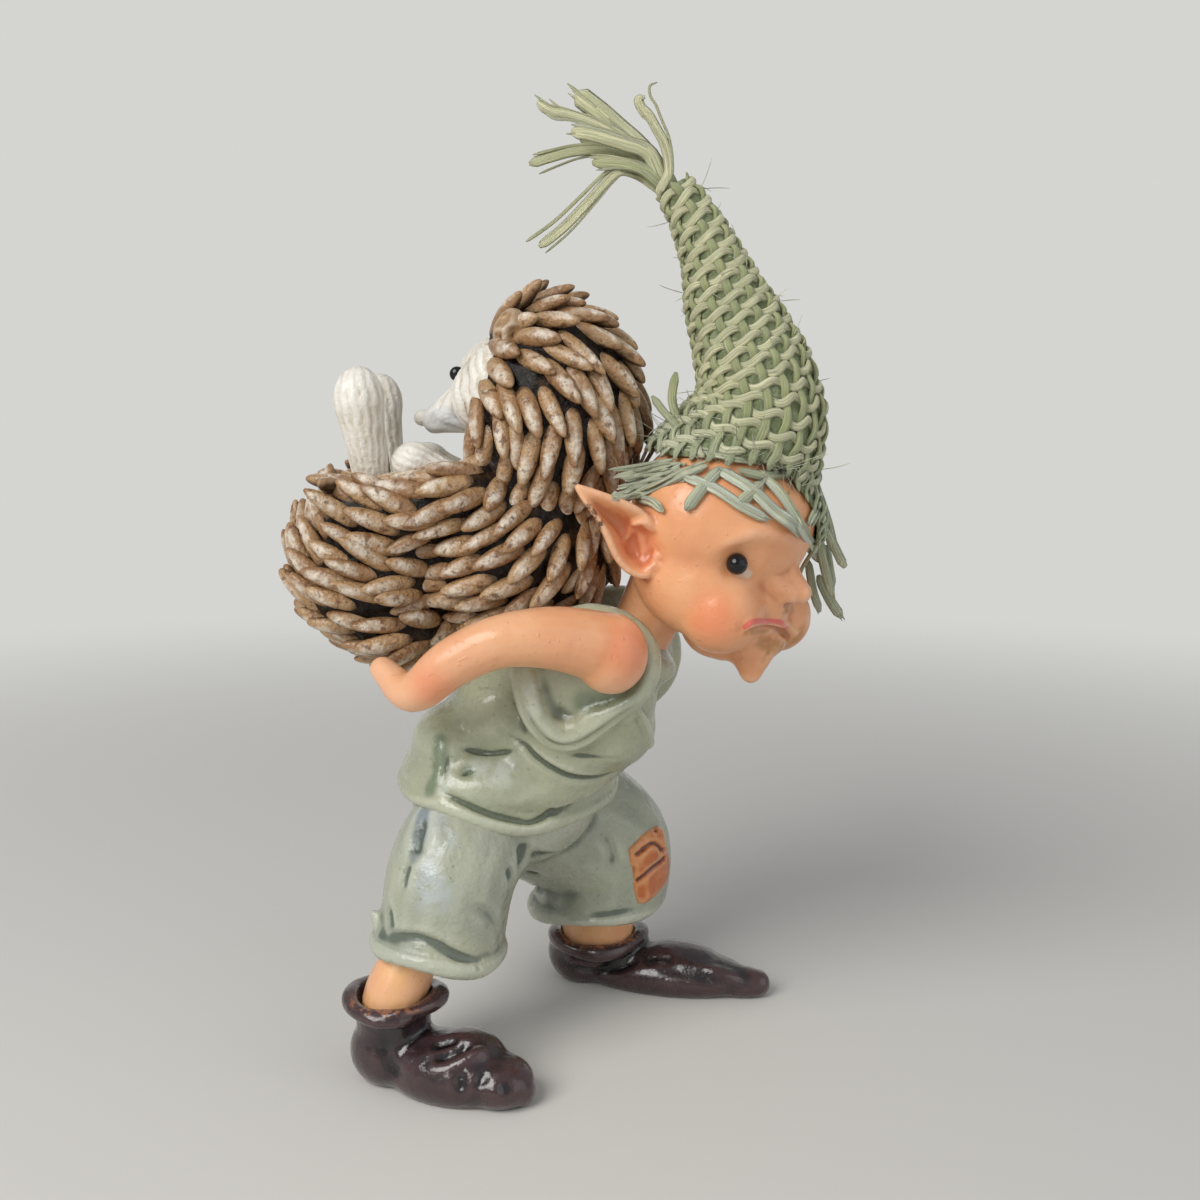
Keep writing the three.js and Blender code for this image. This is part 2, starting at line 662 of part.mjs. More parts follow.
const skull = placed(
  blend(
    2,
    lump(at(1.5, 0, 1.5), at(SKULL_HALF_LENGTH, SKULL_HALF_WIDTH, SKULL_HALF_HEIGHT)),
    limb([at(9.4, -7.6, 3.2), at(11.6, 0, 2.6), at(9.4, 7.6, 3.2)], [1.9, 1.9, 1.9]),
  ),
  headPlace,
);
const chinAt = at(0.7 * CHIN_LENGTH, 0, -0.71 * CHIN_LENGTH);
const face = placed(
  blend(
    1.3,
    blend(
      3,
      lump(at(7, 0, -5.5), at(6.8, 7.4, 6)),
      lump(at(8.4, -7.2, -7.4), at(4.4, 4.2, 4.8)),
      lump(at(10.2, 6.9, -7.6), at(5, 4.6, 5)),
      limb([at(6.5, 0, -9.5), chinAt], [4.6, 1.6]),
    ),
    limb([at(11, 0, 1.2), at(NOSE_LENGTH - 1.9, 0, -1.8)], [1.6, 1.9]),
    ...pair((s) => lump(at(NOSE_LENGTH - 2.9, 1.9 * s, -2.5), at(1.5, 1.3, 1.2))),
    limb([at(12.4, -4, -6.9), at(14, 0, -5.9), at(12.4, 4, -6.9)], [0.9, 1.25, 0.9]),
    limb([at(12, -3, -8.6), at(13.4, 0, -8.2), at(12, 3, -8.6)], [0.9, 1.25, 0.9]),
  ),
  headPlace,
);

// An ear is a pointed leaf of flesh, hollowed in front.
function earShape(side) {
  const root = at(-0.6, side * 0.9 * SKULL_HALF_WIDTH, -3.2);
  const along = at(-0.62, 0.7 * side, 0.36).normalize();
  const outward = at(0.72, 0.62 * side, 0.08);
  outward.addScaledVector(along, -outward.dot(along)).normalize();
  const across = outward.clone().cross(along);
  const frame = new THREE.Matrix4().makeBasis(along, outward, across).setPosition(root);
  const leaf = limb(
    [at(0, 0, -0.1 * EAR_HALF_HEIGHT), at(0.4 * EAR_LENGTH, 0, 0), at(EAR_LENGTH, 0, 0.25 * EAR_HALF_HEIGHT)],
    [0.8 * EAR_HALF_HEIGHT, 0.85 * EAR_HALF_HEIGHT, EAR_TIP_RADIUS],
  );
  const blade = flattened(leaf, EAR_FLATNESS);
  const hollow = lump(at(0.36 * EAR_LENGTH, 2.4, 0), at(0.4 * EAR_LENGTH, 2, 0.62 * EAR_HALF_HEIGHT));
  return placed(placed(cut(EDGE_ROUNDING, blade, hollow), frame), headPlace);
}

const neckFoot = at(CHEST.x + 4.5, -1, CHEST.z + 4.5);
const neck = limb([neckFoot, onHead(-1.5, 0, -5)], [NECK_RADIUS * 0.85, NECK_RADIUS]);
const head = blend(1.6, skull, face, neck, ...pair(earShape));

// An eye is half sunk in the flesh, where a line from the middle of the head comes out.
function surfaceAt(shape, from, towards) {
  const p = from.clone();
  for (let step = 0; step < 60; step++) p.addScaledVector(towards, -shape.far(p));
  return p;
}
const [rightEye, leftEye] = pair((s) => {
  const towards = at(0.72, 0.69 * s, -0.06).transformDirection(headPlace);
  return surfaceAt(head, HEAD, towards).addScaledVector(towards, -0.3 * EYE_RADIUS);
});
function bead(centre, radius) {
  const ball = new THREE.SphereGeometry(radius, BEAD_SIDES, BEAD_SIDES / 2);
  return solidOf(ball, new THREE.Matrix4().setPosition(centre));
}
const socketed = (solid, centre, radius) => solid.subtract(bead(centre, radius + SEAM_GAP));

const neckPin = { from: neckFoot.clone().add(at(-1.5, 0, -6)), to: onHead(-1, 0, 0) };
const headSolid = socketed(socketed(skin(head, FACE_FACET), rightEye, EYE_RADIUS), leftEye, EYE_RADIUS);
add("head", drilled(headSolid, neckPin), SKIN);
add("right_eye", bead(rightEye, EYE_RADIUS), BEAD_BLACK);
add("left_eye", bead(leftEye, EYE_RADIUS), BEAD_BLACK);
add("neck_pin", rod(neckPin.from, neckPin.to, PIN_RADIUS), WIRE);

// Tunic
const collarTurn = new THREE.Euler(0, rad(28), 0);
const collarAt = CHEST.clone().add(at(4.6, -0.8, 5.6));
const yoke = limb([CHEST, collarAt.clone().add(at(-0.8, 0, -1.2))], [7.5, COLLAR_RADIUS]);
const armholeAt = (shoulder, side) => at(shoulder.x - 2, shoulder.y - 0.8 * side, shoulder.z - 2.4);
const pad = (shoulder, side) =>
  lump(armholeAt(shoulder, side).add(at(0, -3.2 * side, 0)), at(ARMHOLE_RADIUS, 3.4, ARMHOLE_RADIUS));
const armholeEdge = (shoulder, side) =>
  oval(armholeAt(shoulder, side), ARMHOLE_RADIUS, ARMHOLE_RADIUS, new THREE.Euler(rad(80 * side), 0, 0));

// The hem follows the arch of the waist round the shirt, so it dips at both sides.
const hemPoints = Array.from({ length: ROLL_STEPS }, (_, i) => {
  const a = (i / ROLL_STEPS) * 2 * Math.PI;
  const towards = at(Math.cos(a), Math.sin(a), 0);
  const edge = waist.clone();
  for (let pass = 0; pass < 4; pass++) {
    const across = edge.y - waist.y;
    const dip = WAIST_ARCH_RADIUS - Math.sqrt(WAIST_ARCH_RADIUS ** 2 - across ** 2);
    const middle = waist.clone().add(at(1, 0, TUNIC_HEM_ROLL - dip));
    edge.copy(surfaceAt(shirt, middle, towards)).addScaledVector(towards, -0.5 * TUNIC_HEM_ROLL);
  }
  return edge;
});
const tunicEdges = [
  rolled(hemPoints, TUNIC_HEM_ROLL),
  rolled(oval(collarAt, COLLAR_RADIUS, COLLAR_RADIUS, collarTurn), COLLAR_ROLL),
  rolled(armholeEdge(rightShoulder, -1), ARMHOLE_ROLL),
  rolled(armholeEdge(leftShoulder, 1), ARMHOLE_ROLL),
];
const tunicBody = cut(
  SEAM_ROUNDING,
  blend(2.5, shirt, yoke, pad(rightShoulder, -1), pad(leftShoulder, 1)),
  waistArch,
);

// Hedgehog: on its back, its crown by the hat and its rump behind the goblin
const rumpAt = at(-21.5, 0, 59.3);
const backAt = at(-6, 0, 61.5);
const crownAt = at(-1.2, 0, 76.5);
const flankRadius = 0.354 * HOG_HALF_WIDTH;
const flankRise = 0.46 * HOG_HALF_WIDTH;
const flankRadii = [flankRadius, flankRadius];
const flankAt = (p, lead, side) =>
  p.clone().add(at(lead, side * (HOG_HALF_WIDTH - flankRadius + 0.3), flankRise));
const hog = blend(
  4,
  lump(rumpAt, at(HOG_RUMP_RADIUS, HOG_HALF_WIDTH, HOG_RUMP_RADIUS)),
  lump(backAt, at(1.1 * HOG_BACK_RADIUS, HOG_HALF_WIDTH, HOG_BACK_RADIUS)),
  lump(crownAt, at(HOG_HEAD_RADIUS, 0.96 * HOG_HALF_WIDTH, 1.27 * HOG_HEAD_RADIUS)),
  ...pair((s) => limb([flankAt(rumpAt, -1.5, s), flankAt(backAt, -4, s)], flankRadii)),
);
const bellyRun = [
  rumpAt.clone().add(at(0, 0, 5.5)),
  rumpAt.clone().lerp(backAt, 0.5).add(at(0, 0, 0.5)),
  backAt.clone().add(at(0, 0, 6.5)),
];
const faceAt = crownAt.clone().add(at(-5.2, 0, 3.5));
const snoutAt = faceAt.clone().add(at(-8.4, 0, -3.6));
const hogFace = blend(
  1.5,
  lump(faceAt, at(6, 7, 6.6)),
  limb([faceAt.clone().add(at(-2, 0, -1.2)), snoutAt], [4.4, 1.9]),
  ...pair((s) => lump(faceAt.clone().add(at(-3, 4.2 * s, -1)), at(3, 3, 4))),
);
const hogBelly = cut(SEAM_ROUNDING, limb(bellyRun, [5.4, 6.4, 6.6]), ...clearOf(COAT_FACET, hogFace));

// Feet and paws: rounded pads set on the belly, the hind feet standing up past the rump
const hindFootAt = rumpAt.clone().add(at(-1.2, 0, flankRise + flankRadius + 6.4));
function hindFootShape(side) {
  const out = (x, y, z) => hindFootAt.clone().add(at(x, side * y, z));
  const half = HIND_FOOT_LENGTH / 2;
  return blend(
    1,
    limb([out(1.2, 5.4, -half - 1), out(0, 6.2, 0.3 * half)], [0.75 * HIND_FOOT_RADIUS, HIND_FOOT_RADIUS]),
    lump(out(0, 6.4, 0.4 * half), at(HIND_FOOT_RADIUS, 0.8 * HIND_FOOT_RADIUS, 0.7 * half)),
  );
}
function pawShape(side) {
  const root = at(snoutAt.x - 1.8, side * 0.4 * HOG_HALF_WIDTH, backAt.z + flankRise + flankRadius - 0.9);
  return blend(1, limb([root.clone().add(at(5, 0, -2.5)), root], [2.3, 2.4]), lump(root, at(2.9, 2.6, 2.6)));
}
const hatRoom = grow(skull, HAT_EASE + HAT_CLOTH);
const paws = pair(pawShape);
const coatNeighbours = [hogBelly, hogFace, ...paws, tunicBody, rightArm, leftArm, head, hatRoom];

// The coat is open above the belly, between the flanks, from the rump to the face.
const lap = limb([rumpAt.clone().add(at(-0.5, 0, 12.5)), backAt.clone().add(at(-3, 0, 11.5))], [6, 6.5]);
const coat = cut(EDGE_ROUNDING, hog, lap, ...clearOf(COAT_FACET, ...coatNeighbours));

const hogPin = { from: CHEST.clone().add(at(-4, 2, -1)), to: backAt.clone().add(at(1, 2, -2.5)) };

// Spines stand in rows across the coat and lie back along it, from the crown to the rump.
const hogLine = new THREE.CatmullRomCurve3([
  crownAt.clone().add(at(-4, 0, 8)),
  crownAt.clone().add(at(1.5, 0, -2)),
  backAt.clone().add(at(5, 0, 1)),
  backAt.clone().lerp(rumpAt, 0.5).add(at(0, 0, -1)),
  rumpAt.clone().add(at(-1, 0, 0.5)),
  rumpAt.clone().add(at(-4.5, 0, 6.5)),
]);
const slopeOf = (shape, p) => {
  const reach = 0.1;
  const d = shape.far(p);
  return at(
    shape.far(p.clone().add(at(reach, 0, 0))) - d,
    shape.far(p.clone().add(at(0, reach, 0))) - d,
    shape.far(p.clone().add(at(0, 0, reach))) - d,
  ).normalize();
};
const spineRows = Math.round((1.56 * hogLine.getLength()) / SPINE_ROW_PITCH);
const spines = [];
for (let row = 0; row < spineRows; row++) {
  const t = (row + 0.5) / spineRows;
  const middle = hogLine.getPointAt(t);
  const flow = hogLine.getTangentAt(t);
  const outward = at(flow.z, 0, -flow.x).multiplyScalar(-1);
  const perSide = Math.floor((0.62 * Math.PI * HOG_HALF_WIDTH) / SPINE_PITCH);
  for (let n = -perSide; n <= perSide; n++) {
    const turn = ((n + (row % 2) / 2) * SPINE_PITCH) / HOG_HALF_WIDTH;
    const towards = outward.clone().multiplyScalar(Math.cos(turn)).add(at(0, Math.sin(turn), 0));
    const base = surfaceAt(hog, middle, towards);
    const away = slopeOf(hog, base);
    const lie = flow.clone().addScaledVector(away, -flow.dot(away)).normalize();
    const lift = rad(SPINE_LIFT);
    const axis = lie.multiplyScalar(Math.cos(lift)).addScaledVector(away, Math.sin(lift));
    const root = base.clone().addScaledVector(axis, -0.3 * SPINE_LENGTH);
    const tip = root.clone().addScaledVector(axis, SPINE_LENGTH);
    const room = SPINE_RADIUS + SEAM_GAP;
    const stations = [base, root.clone().lerp(tip, 0.5), tip];
    const free = stations.every((p) => coatNeighbours.every((shape) => shape.far(p) > room));
    if (!free) continue;
    const roll = rad(SPINE_ROLL * Math.sin(3 * row + 5 * n));
    const across = axis.clone().cross(away).normalize().applyAxisAngle(axis, roll);
    const place = new THREE.Matrix4()
      .makeBasis(across, axis, across.clone().cross(axis))
      .scale(at(SPINE_RADIUS, SPINE_LENGTH / 2, SPINE_RADIUS))
      .setPosition(root.lerp(tip, 0.5));
    spines.push(solidOf(new THREE.OctahedronGeometry(1), place));
  }
}
const coatSolid = skin(coat, COAT_FACET).add(wasm.Manifold.union(spines));
add("hedgehog_coat", drilled(coatSolid, hogPin), COAT_BROWN);
add("hedgehog_belly", skin(hogBelly, COAT_FACET), FUR_CREAM);
pair((side) => {
  const name = side < 0 ? "right" : "left";
  const foot = hindFootShape(side);
  const paw = paws[side < 0 ? 0 : 1];
  const seated = (shape, ...others) =>
    skin(cut(SEAM_ROUNDING, shape, ...clearOf(SMALL_FACET, hogBelly, hogFace, ...others)), SMALL_FACET);
  add("hedgehog_" + name + "_foot", seated(foot, coat), FUR_CREAM);
  add("hedgehog_" + name + "_paw", seated(paw, foot), FUR_CREAM);
});

const hogNose = snoutAt.clone().add(at(-1.7, 0, 0.2));
const [hogRightEye, hogLeftEye] = pair((s) => {
  const towards = at(-0.86, 0.44 * s, 0.26).normalize();
  return surfaceAt(hogFace, faceAt, towards).addScaledVector(towards, -0.2 * HOG_EYE_RADIUS);
});
const faceBeads = [
  ["hedgehog_nose", hogNose, HOG_NOSE_RADIUS],
  ["hedgehog_right_eye", hogRightEye, HOG_EYE_RADIUS],
  ["hedgehog_left_eye", hogLeftEye, HOG_EYE_RADIUS],
];
const bareFace = skin(hogFace, FACE_FACET);
add("hedgehog_face", faceBeads.reduce((solid, [, c, r]) => socketed(solid, c, r), bareFace), FUR_CREAM);
faceBeads.forEach(([name, c, r]) => add(name, bead(c, r), BEAD_BLACK));
add("hedgehog_pin", rod(hogPin.from, hogPin.to, PIN_RADIUS), WIRE);

const rightHemmed = hemmed(skin(trousersBody, BODY_FACET), rightHem, RIGHT_LEG_RADIUS, RIGHT_HEM_TILT);
const trousersSolid = hemmed(rightHemmed, leftHem, LEFT_LEG_RADIUS, LEFT_HEM_TILT)
  .subtract(skin(patchPocket, PATCH_FACET))
  .subtract(roomFor(rightAnkle, SMALL_FACET))
  .subtract(roomFor(leftAnkle, SMALL_FACET));
add("trousers", drilled(drilled(trousersSolid, rightLegPin), leftLegPin), TROUSER_GREEN);

const tunicSolid = skin(tunicBody, BODY_FACET)
  .add(wasm.Manifold.union(tunicEdges))
  .subtract(roomFor(trousersBody, BODY_FACET))
  .subtract(roomFor(rightArm, BODY_FACET))
  .subtract(roomFor(leftArm, BODY_FACET))
  .subtract(roomFor(neck, BODY_FACET));
add("tunic", drilled(drilled(tunicSolid, neckPin), hogPin), TUNIC_GREEN);
add("knee_patch", skin(patch, PATCH_FACET), PATCH_ORANGE);
add("right_arm", skin(rightArm, SMALL_FACET), SKIN);
add("left_arm", skin(leftArm, SMALL_FACET), SKIN);

// Hat: cloth drawn over the skull, then narrowing to a bent tip
const headUp = at(0, 0, 1).transformDirection(headPlace);
const brimAt = onHead(0.5, 0, 6.1);
const hatGrowth = HAT_HEIGHT / 34.5;
const hatLine = new THREE.CatmullRomCurve3(
  [
    at(0, 0, 0),
    at(3.1, 1.2, 6.5),
    at(3, 1.9, 10.6),
    at(1.5, 2.6, 15.5),
    at(-0.5, 3.4, 21),
    at(-2.4, 4.2, 26.7),
    at(-4.8, 4.8, 31.4),
    at(-7.2, 5.4, 34.5),
  ].map((step) => step.multiplyScalar(hatGrowth).add(brimAt)),
);
const hatTaper = [
  [0, 10],
  [0.19, 7.8],
  [0.31, 6.6],
  [0.44, 5.6],
  [0.6, 4.35],
  [0.76, 2.9],
  [0.9, 2.2],
  [1, 1.8],
];

// One ring of the cloth's inner or outer face; rings near the brim keep clear of the skull.
function hatRing(t, thickness) {
  const along = THREE.MathUtils.clamp(t, 0, 1);
  const centre = hatLine.getPointAt(along).addScaledVector(headUp, (t - along) * HAT_HEIGHT);
  const upright = THREE.MathUtils.smoothstep(along, 0.05, 0.4);
  const up = headUp.clone().lerp(hatLine.getTangentAt(along), upright).normalize();
  const side = at(0, 1, 0).cross(up).normalize();
  const depth = up.clone().cross(side);
  const radius = taperAt(along);
  return Array.from({ length: HAT_SIDES }, (_, i) => {
    const a = (i / HAT_SIDES) * 2 * Math.PI;
    const towards = side.clone().multiplyScalar(Math.cos(a)).addScaledVector(depth, Math.sin(a));
    const fold = 1 + 0.045 * Math.sin(5 * a + 9 * along) * Math.sin(Math.PI * along);
    const clear = reachOf(head, centre, towards) + HAT_EASE + HAT_CLOTH;
    return centre.clone().addScaledVector(towards, Math.max(radius * fold, clear) - thickness);
  });
}

function taperAt(along) {
  const i = Math.max(1, hatTaper.findIndex(([t]) => t >= along));
  const [from, wide] = hatTaper[i - 1];
  const [to, narrow] = hatTaper[i];
  return lerp(wide, narrow, (along - from) / (to - from));
}

// How far a shape reaches from a point along a direction, found from outside.
function reachOf(shape, from, towards) {
  let reach = 30;
  for (let step = 0; step < 40 && reach > 0; step++) {
    reach -= shape.far(from.clone().addScaledVector(towards, reach));
  }
  return Math.max(reach, 0);
}

const hatRows = [0, 0.06, 0.13, 0.2, 0.28, 0.37, 0.47, 0.57, 0.67, 0.77, 0.86, 0.94, 1];
const cavityRows = [-0.06, ...hatRows.filter((t) => t < 0.8)];
const capped = { capStart: true, capEnd: true };
const hatOuter = solidOf(new LoftGeometry(hatRows.map((t) => hatRing(t, 0)), capped));
const hatInner = solidOf(new LoftGeometry(cavityRows.map((t) => hatRing(t, HAT_CLOTH)), capped));

// Frayed ends of the weave: a fringe below the brim and a loose tassel at the tip
function lifted(point, clearance) {
  const p = point.clone();
  for (let step = 0; step < 8; step++) {
    const short = clearance - head.far(p);
    if (short > 0) p.addScaledVector(slopeOf(head, p), short);
  }
  return p;
}

const strands = [];
const brimRing = hatRing(0.02, HAT_CLOTH / 2);
for (let i = 0; i < FRINGE_STRANDS; i++) {
  const place = Math.round(((i + 0.5) / FRINGE_STRANDS) * HAT_SIDES) % HAT_SIDES;
  const top = brimRing[place];
  const aside = brimRing[(place + 1) % HAT_SIDES].clone().sub(top).normalize();
  const length = FRINGE_LENGTH * (0.75 + 0.35 * Math.sin(2.3 * i));
  const path = [0, 0.35, 0.7, 1].map((share) => {
    const slide = length * share * 0.5 * Math.sin(1.7 * i);
    const hung = top.clone().addScaledVector(headUp, 0.5 - length * share).addScaledVector(aside, slide);
    return share ? lifted(hung, STRAND_RADIUS + SEAM_GAP) : hung;
  });
  const spineHeight = SPINE_LENGTH * Math.sin(rad(SPINE_LIFT));
  const hangsFree = new THREE.CatmullRomCurve3(path)
    .getPoints(12)
    .every((p) => hog.far(p) > spineHeight + STRAND_RADIUS && head.far(p) > STRAND_RADIUS + 0.5 * SEAM_GAP);
  if (hangsFree) strands.push(strand(path, STRAND_RADIUS, 0.7));
}

const tipAt = hatLine.getPointAt(1);
const tipRun = hatLine.getTangentAt(1);
for (let i = 0; i < TASSEL_STRANDS; i++) {
  const share = i / (TASSEL_STRANDS - 1);
  const fan = rad(lerp(-32, 82, share));
  const length = TASSEL_LENGTH * (0.62 + 0.38 * Math.cos(2.6 * share - 0.5));
  const splay = 3 * Math.sin(2.4 * i);
  const end = tipAt.clone().add(at(-length * Math.cos(fan), splay, length * Math.sin(fan)));
  const bend = tipAt.clone().addScaledVector(tipRun, 0.2 * TASSEL_LENGTH).add(at(0, 0.3 * splay, 0));
  const path = [hatLine.getPointAt(0.97), tipAt, bend, bend.clone().lerp(end, 0.55), end];
  strands.push(strand(path, STRAND_RADIUS, 0.7));
}
const earRoom = pair((side) => skin(grow(earShape(side), HAT_EASE), BODY_FACET));
const hatCloth = hatOuter.subtract(wasm.Manifold.union([hatInner, ...earRoom]));
add("hat", hatCloth.add(wasm.Manifold.union(strands)), JUTE_GREEN);

goblin.updateMatrixWorld(true);
const bounds = new THREE.Box3().setFromObject(goblin, true);
const middle = bounds.getCenter(new THREE.Vector3()).setZ(bounds.min.z);
goblin.children.forEach((mesh) => mesh.geometry.translate(-middle.x, -middle.y, -middle.z));

export default goblin;
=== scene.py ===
import math

import bpy
import numpy as np
from mathutils import Euler, Matrix, Vector


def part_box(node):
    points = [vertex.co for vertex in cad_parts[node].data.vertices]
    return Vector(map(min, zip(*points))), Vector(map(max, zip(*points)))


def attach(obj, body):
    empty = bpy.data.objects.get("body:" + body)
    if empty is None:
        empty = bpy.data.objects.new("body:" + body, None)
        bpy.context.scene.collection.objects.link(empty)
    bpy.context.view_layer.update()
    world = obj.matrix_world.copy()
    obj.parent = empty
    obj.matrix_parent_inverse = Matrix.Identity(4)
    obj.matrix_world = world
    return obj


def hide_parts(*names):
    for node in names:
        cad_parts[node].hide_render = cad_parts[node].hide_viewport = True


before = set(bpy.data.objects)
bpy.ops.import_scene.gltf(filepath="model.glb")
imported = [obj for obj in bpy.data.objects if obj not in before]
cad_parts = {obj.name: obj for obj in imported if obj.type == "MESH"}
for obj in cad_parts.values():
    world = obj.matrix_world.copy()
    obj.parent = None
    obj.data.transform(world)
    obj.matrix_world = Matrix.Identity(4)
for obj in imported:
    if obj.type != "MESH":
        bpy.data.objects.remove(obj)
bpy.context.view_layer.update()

# The studio: a pale sweep of card under one large soft lamp at the left and a weak one at the right.
# The camera stands a hand's length from the figure, a little above its middle, and looks slightly down.
scene = bpy.context.scene
scene.view_settings.view_transform = "Standard"
# The figure is modelled in millimetres, in a frame of its own where the hedgehog's nose is at this place.
NOSE_PLACE = Vector((-0.0165, 0, 0.0766))
nose_low, nose_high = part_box("hedgehog_nose")
figure_offset = (nose_low + nose_high) / 2 - NOSE_PLACE


def spot(x, y, z):
    return Vector((x, y, z)) / 1000 + figure_offset


bpy.ops.object.select_all(action="DESELECT")
bpy.ops.object.camera_add(location=spot(5, -146, 73), rotation=(math.radians(90 - 7.22), 0, 0))
camera = bpy.context.object
camera.data.lens = 36
camera.data.sensor_width = 36
camera.data.clip_start = 0.01
scene.camera = camera


def soft_lamp(name, place, size, power, colour):
    bpy.ops.object.light_add(type="AREA", location=place)
    lamp = bpy.context.object
    lamp.name = name
    lamp.rotation_euler = (spot(0, 0, 52) - place).to_track_quat("-Z", "Y").to_euler()
    lamp.data.shape = "DISK"
    lamp.data.size = size
    lamp.data.energy = power
    lamp.data.color = colour


soft_lamp("key_lamp", spot(-250, -300, 330), 0.34, 1.75, (1.0, 0.985, 0.96))
soft_lamp("fill_lamp", spot(340, -240, 150), 0.5, 0.38, (0.95, 0.97, 1.0))
scene.world = bpy.data.worlds.new("studio_air")
scene.world.use_nodes = True
scene.world.node_tree.nodes["Background"].inputs["Color"].default_value = (0.92, 0.95, 1.0, 1)
scene.world.node_tree.nodes["Background"].inputs["Strength"].default_value = 0.36


def edited(step, **settings):
    bpy.ops.object.mode_set(mode="EDIT")
    step(**settings)
    bpy.ops.object.mode_set(mode="OBJECT")


CARD_SIZE, CARD_RISE, CARD_BEND = 3, 2, 0.7
bpy.ops.mesh.primitive_plane_add(size=CARD_SIZE, location=(0, 0.6, 0))
sweep = bpy.context.object
sweep.name = "card_sweep"
edited(bpy.ops.mesh.select_all, action="DESELECT")
for edge in sweep.data.edges:
    edge.select = all(sweep.data.vertices[n].co.y > 1 for n in edge.vertices)
edited(bpy.ops.mesh.extrude_region_move, TRANSFORM_OT_translate={"value": (0, 0, CARD_RISE)})
for edge in sweep.data.edges:
    ends = [sweep.data.vertices[n].co for n in edge.vertices]
    edge.select = all(end.y > 1 and end.z < 0.1 for end in ends)
edited(bpy.ops.mesh.bevel, offset=CARD_BEND, segments=16)
bpy.ops.object.transform_apply(location=True, rotation=False, scale=False)
bpy.ops.object.shade_smooth()


class Paint:
    """One pot: a ground colour, then coats laid over it where their masks are."""

    def __init__(self, name, ground, roughness, coat=0.0, specular=0.5):
        self.material = bpy.data.materials.new(name)
        self.material.use_nodes = True
        self.nodes = self.material.node_tree.nodes
        self.links = self.material.node_tree.links
        self.shader = self.nodes["Principled BSDF"]
        self.place = self.nodes.new("ShaderNodeTexCoord").outputs["Object"]
        self.colour = ground
        for socket, value in {"Base Color": (*ground, 1), "Roughness": roughness, "Coat Weight": coat,
                              "Coat Roughness": 0.12, "Specular IOR Level": specular}.items():
            self.shader.inputs[socket].default_value = value

    def ranged(self, value, low, high, to_low=0.0, to_high=1.0):
        node = self.nodes.new("ShaderNodeMapRange")
        node.interpolation_type = "SMOOTHSTEP"
        for socket, setting in {"From Min": low, "From Max": high, "To Min": to_low, "To Max": to_high}.items():
            node.inputs[socket].default_value = setting
        self.links.new(value, node.inputs["Value"])
        return node.outputs["Result"]

    def cloud(self, millimetres, low=0.35, high=0.65, detail=3.0, coords=None):
        """A mottling whose blots are about this many millimetres across."""
        node = self.nodes.new("ShaderNodeTexNoise")
        node.inputs["Scale"].default_value = 1000 / millimetres
        node.inputs["Detail"].default_value = detail
        self.links.new(coords or self.place, node.inputs["Vector"])
        return self.ranged(node.outputs["Fac"], low, high)

    def marked(self, name, low, high):
        """A mark that was noted on the piece."""
        node = self.nodes.new("ShaderNodeAttribute")
        node.attribute_name = name
        return self.ranged(node.outputs["Fac"], low, high)

    def math(self, operation, a, b):
        node = self.nodes.new("ShaderNodeMath")
        node.operation = operation
        for socket, value in zip(node.inputs, (a, b)):
            if isinstance(value, (int, float)):
                socket.default_value = value
            else:
                self.links.new(value, socket)
        return node.outputs[0]

    def mask(self, row):
        """A row of numbers is a mottling, one that starts with a name is a mark, and a socket is itself."""
        if not isinstance(row, tuple):
            return row
        return self.marked(*row) if isinstance(row[0], str) else self.cloud(*row)

    def coats(self, *rows):
        """Each row is a colour, its strength and the masks that are multiplied for it."""
        for colour, strength, first, *others in rows:
            mask = self.mask(first)
            for other in others:
                mask = self.math("MULTIPLY", mask, self.mask(other))
            if strength != 1:
                mask = self.math("MULTIPLY", mask, strength)
            node = self.nodes.new("ShaderNodeMix")
            node.data_type = "RGBA"
            self.links.new(mask, node.inputs[0])
            for socket, value in ((node.inputs[6], self.colour), (node.inputs[7], colour)):
                if isinstance(value, tuple):
                    socket.default_value = (*value, 1)
                else:
                    self.links.new(value, socket)
            self.colour = node.outputs[2]
            self.links.new(self.colour, self.shader.inputs["Base Color"])

    def rough(self, row, low, high):
        self.links.new(self.ranged(self.mask(row), 0, 1, low, high), self.shader.inputs["Roughness"])

    def bumps(self, row, millimetres, strength):
        node = self.nodes.new("ShaderNodeBump")
        node.inputs["Strength"].default_value = strength
        node.inputs["Distance"].default_value = millimetres / 1000
        self.links.new(self.mask(row), node.inputs["Height"])
        old = self.shader.inputs["Normal"].links
        if old:
            self.links.new(old[0].from_socket, node.inputs["Normal"])
        self.links.new(node.outputs["Normal"], self.shader.inputs["Normal"])


# Far off, the card glows a little to the eye but lights nothing, so that it stays pale behind the figure.
card = Paint("card", (0.72, 0.70, 0.66), 0.9)
card_far = card.nodes.new("ShaderNodeVectorMath")
card_far.operation = "LENGTH"
card.links.new(card.place, card_far.inputs[0])
rays = card.nodes.new("ShaderNodeLightPath").outputs
card_seen = card.math("ADD", rays["Is Camera Ray"], rays["Is Glossy Ray"])
card_glow = card.nodes.new("ShaderNodeEmission")
card_glow.inputs["Color"].default_value = (0.66, 0.66, 0.64, 1)
card_mix = card.nodes.new("ShaderNodeMixShader")
card_share = card.math("MULTIPLY", card.ranged(card_far.outputs["Value"], 0.07, 0.42), card_seen)
for socket, source in zip(card_mix.inputs, (card_share, card.shader.outputs[0], card_glow.outputs[0])):
    card.links.new(source, socket)
card.links.new(card_mix.outputs["Shader"], card.nodes["Material Output"].inputs["Surface"])
sweep.data.materials.append(card.material)


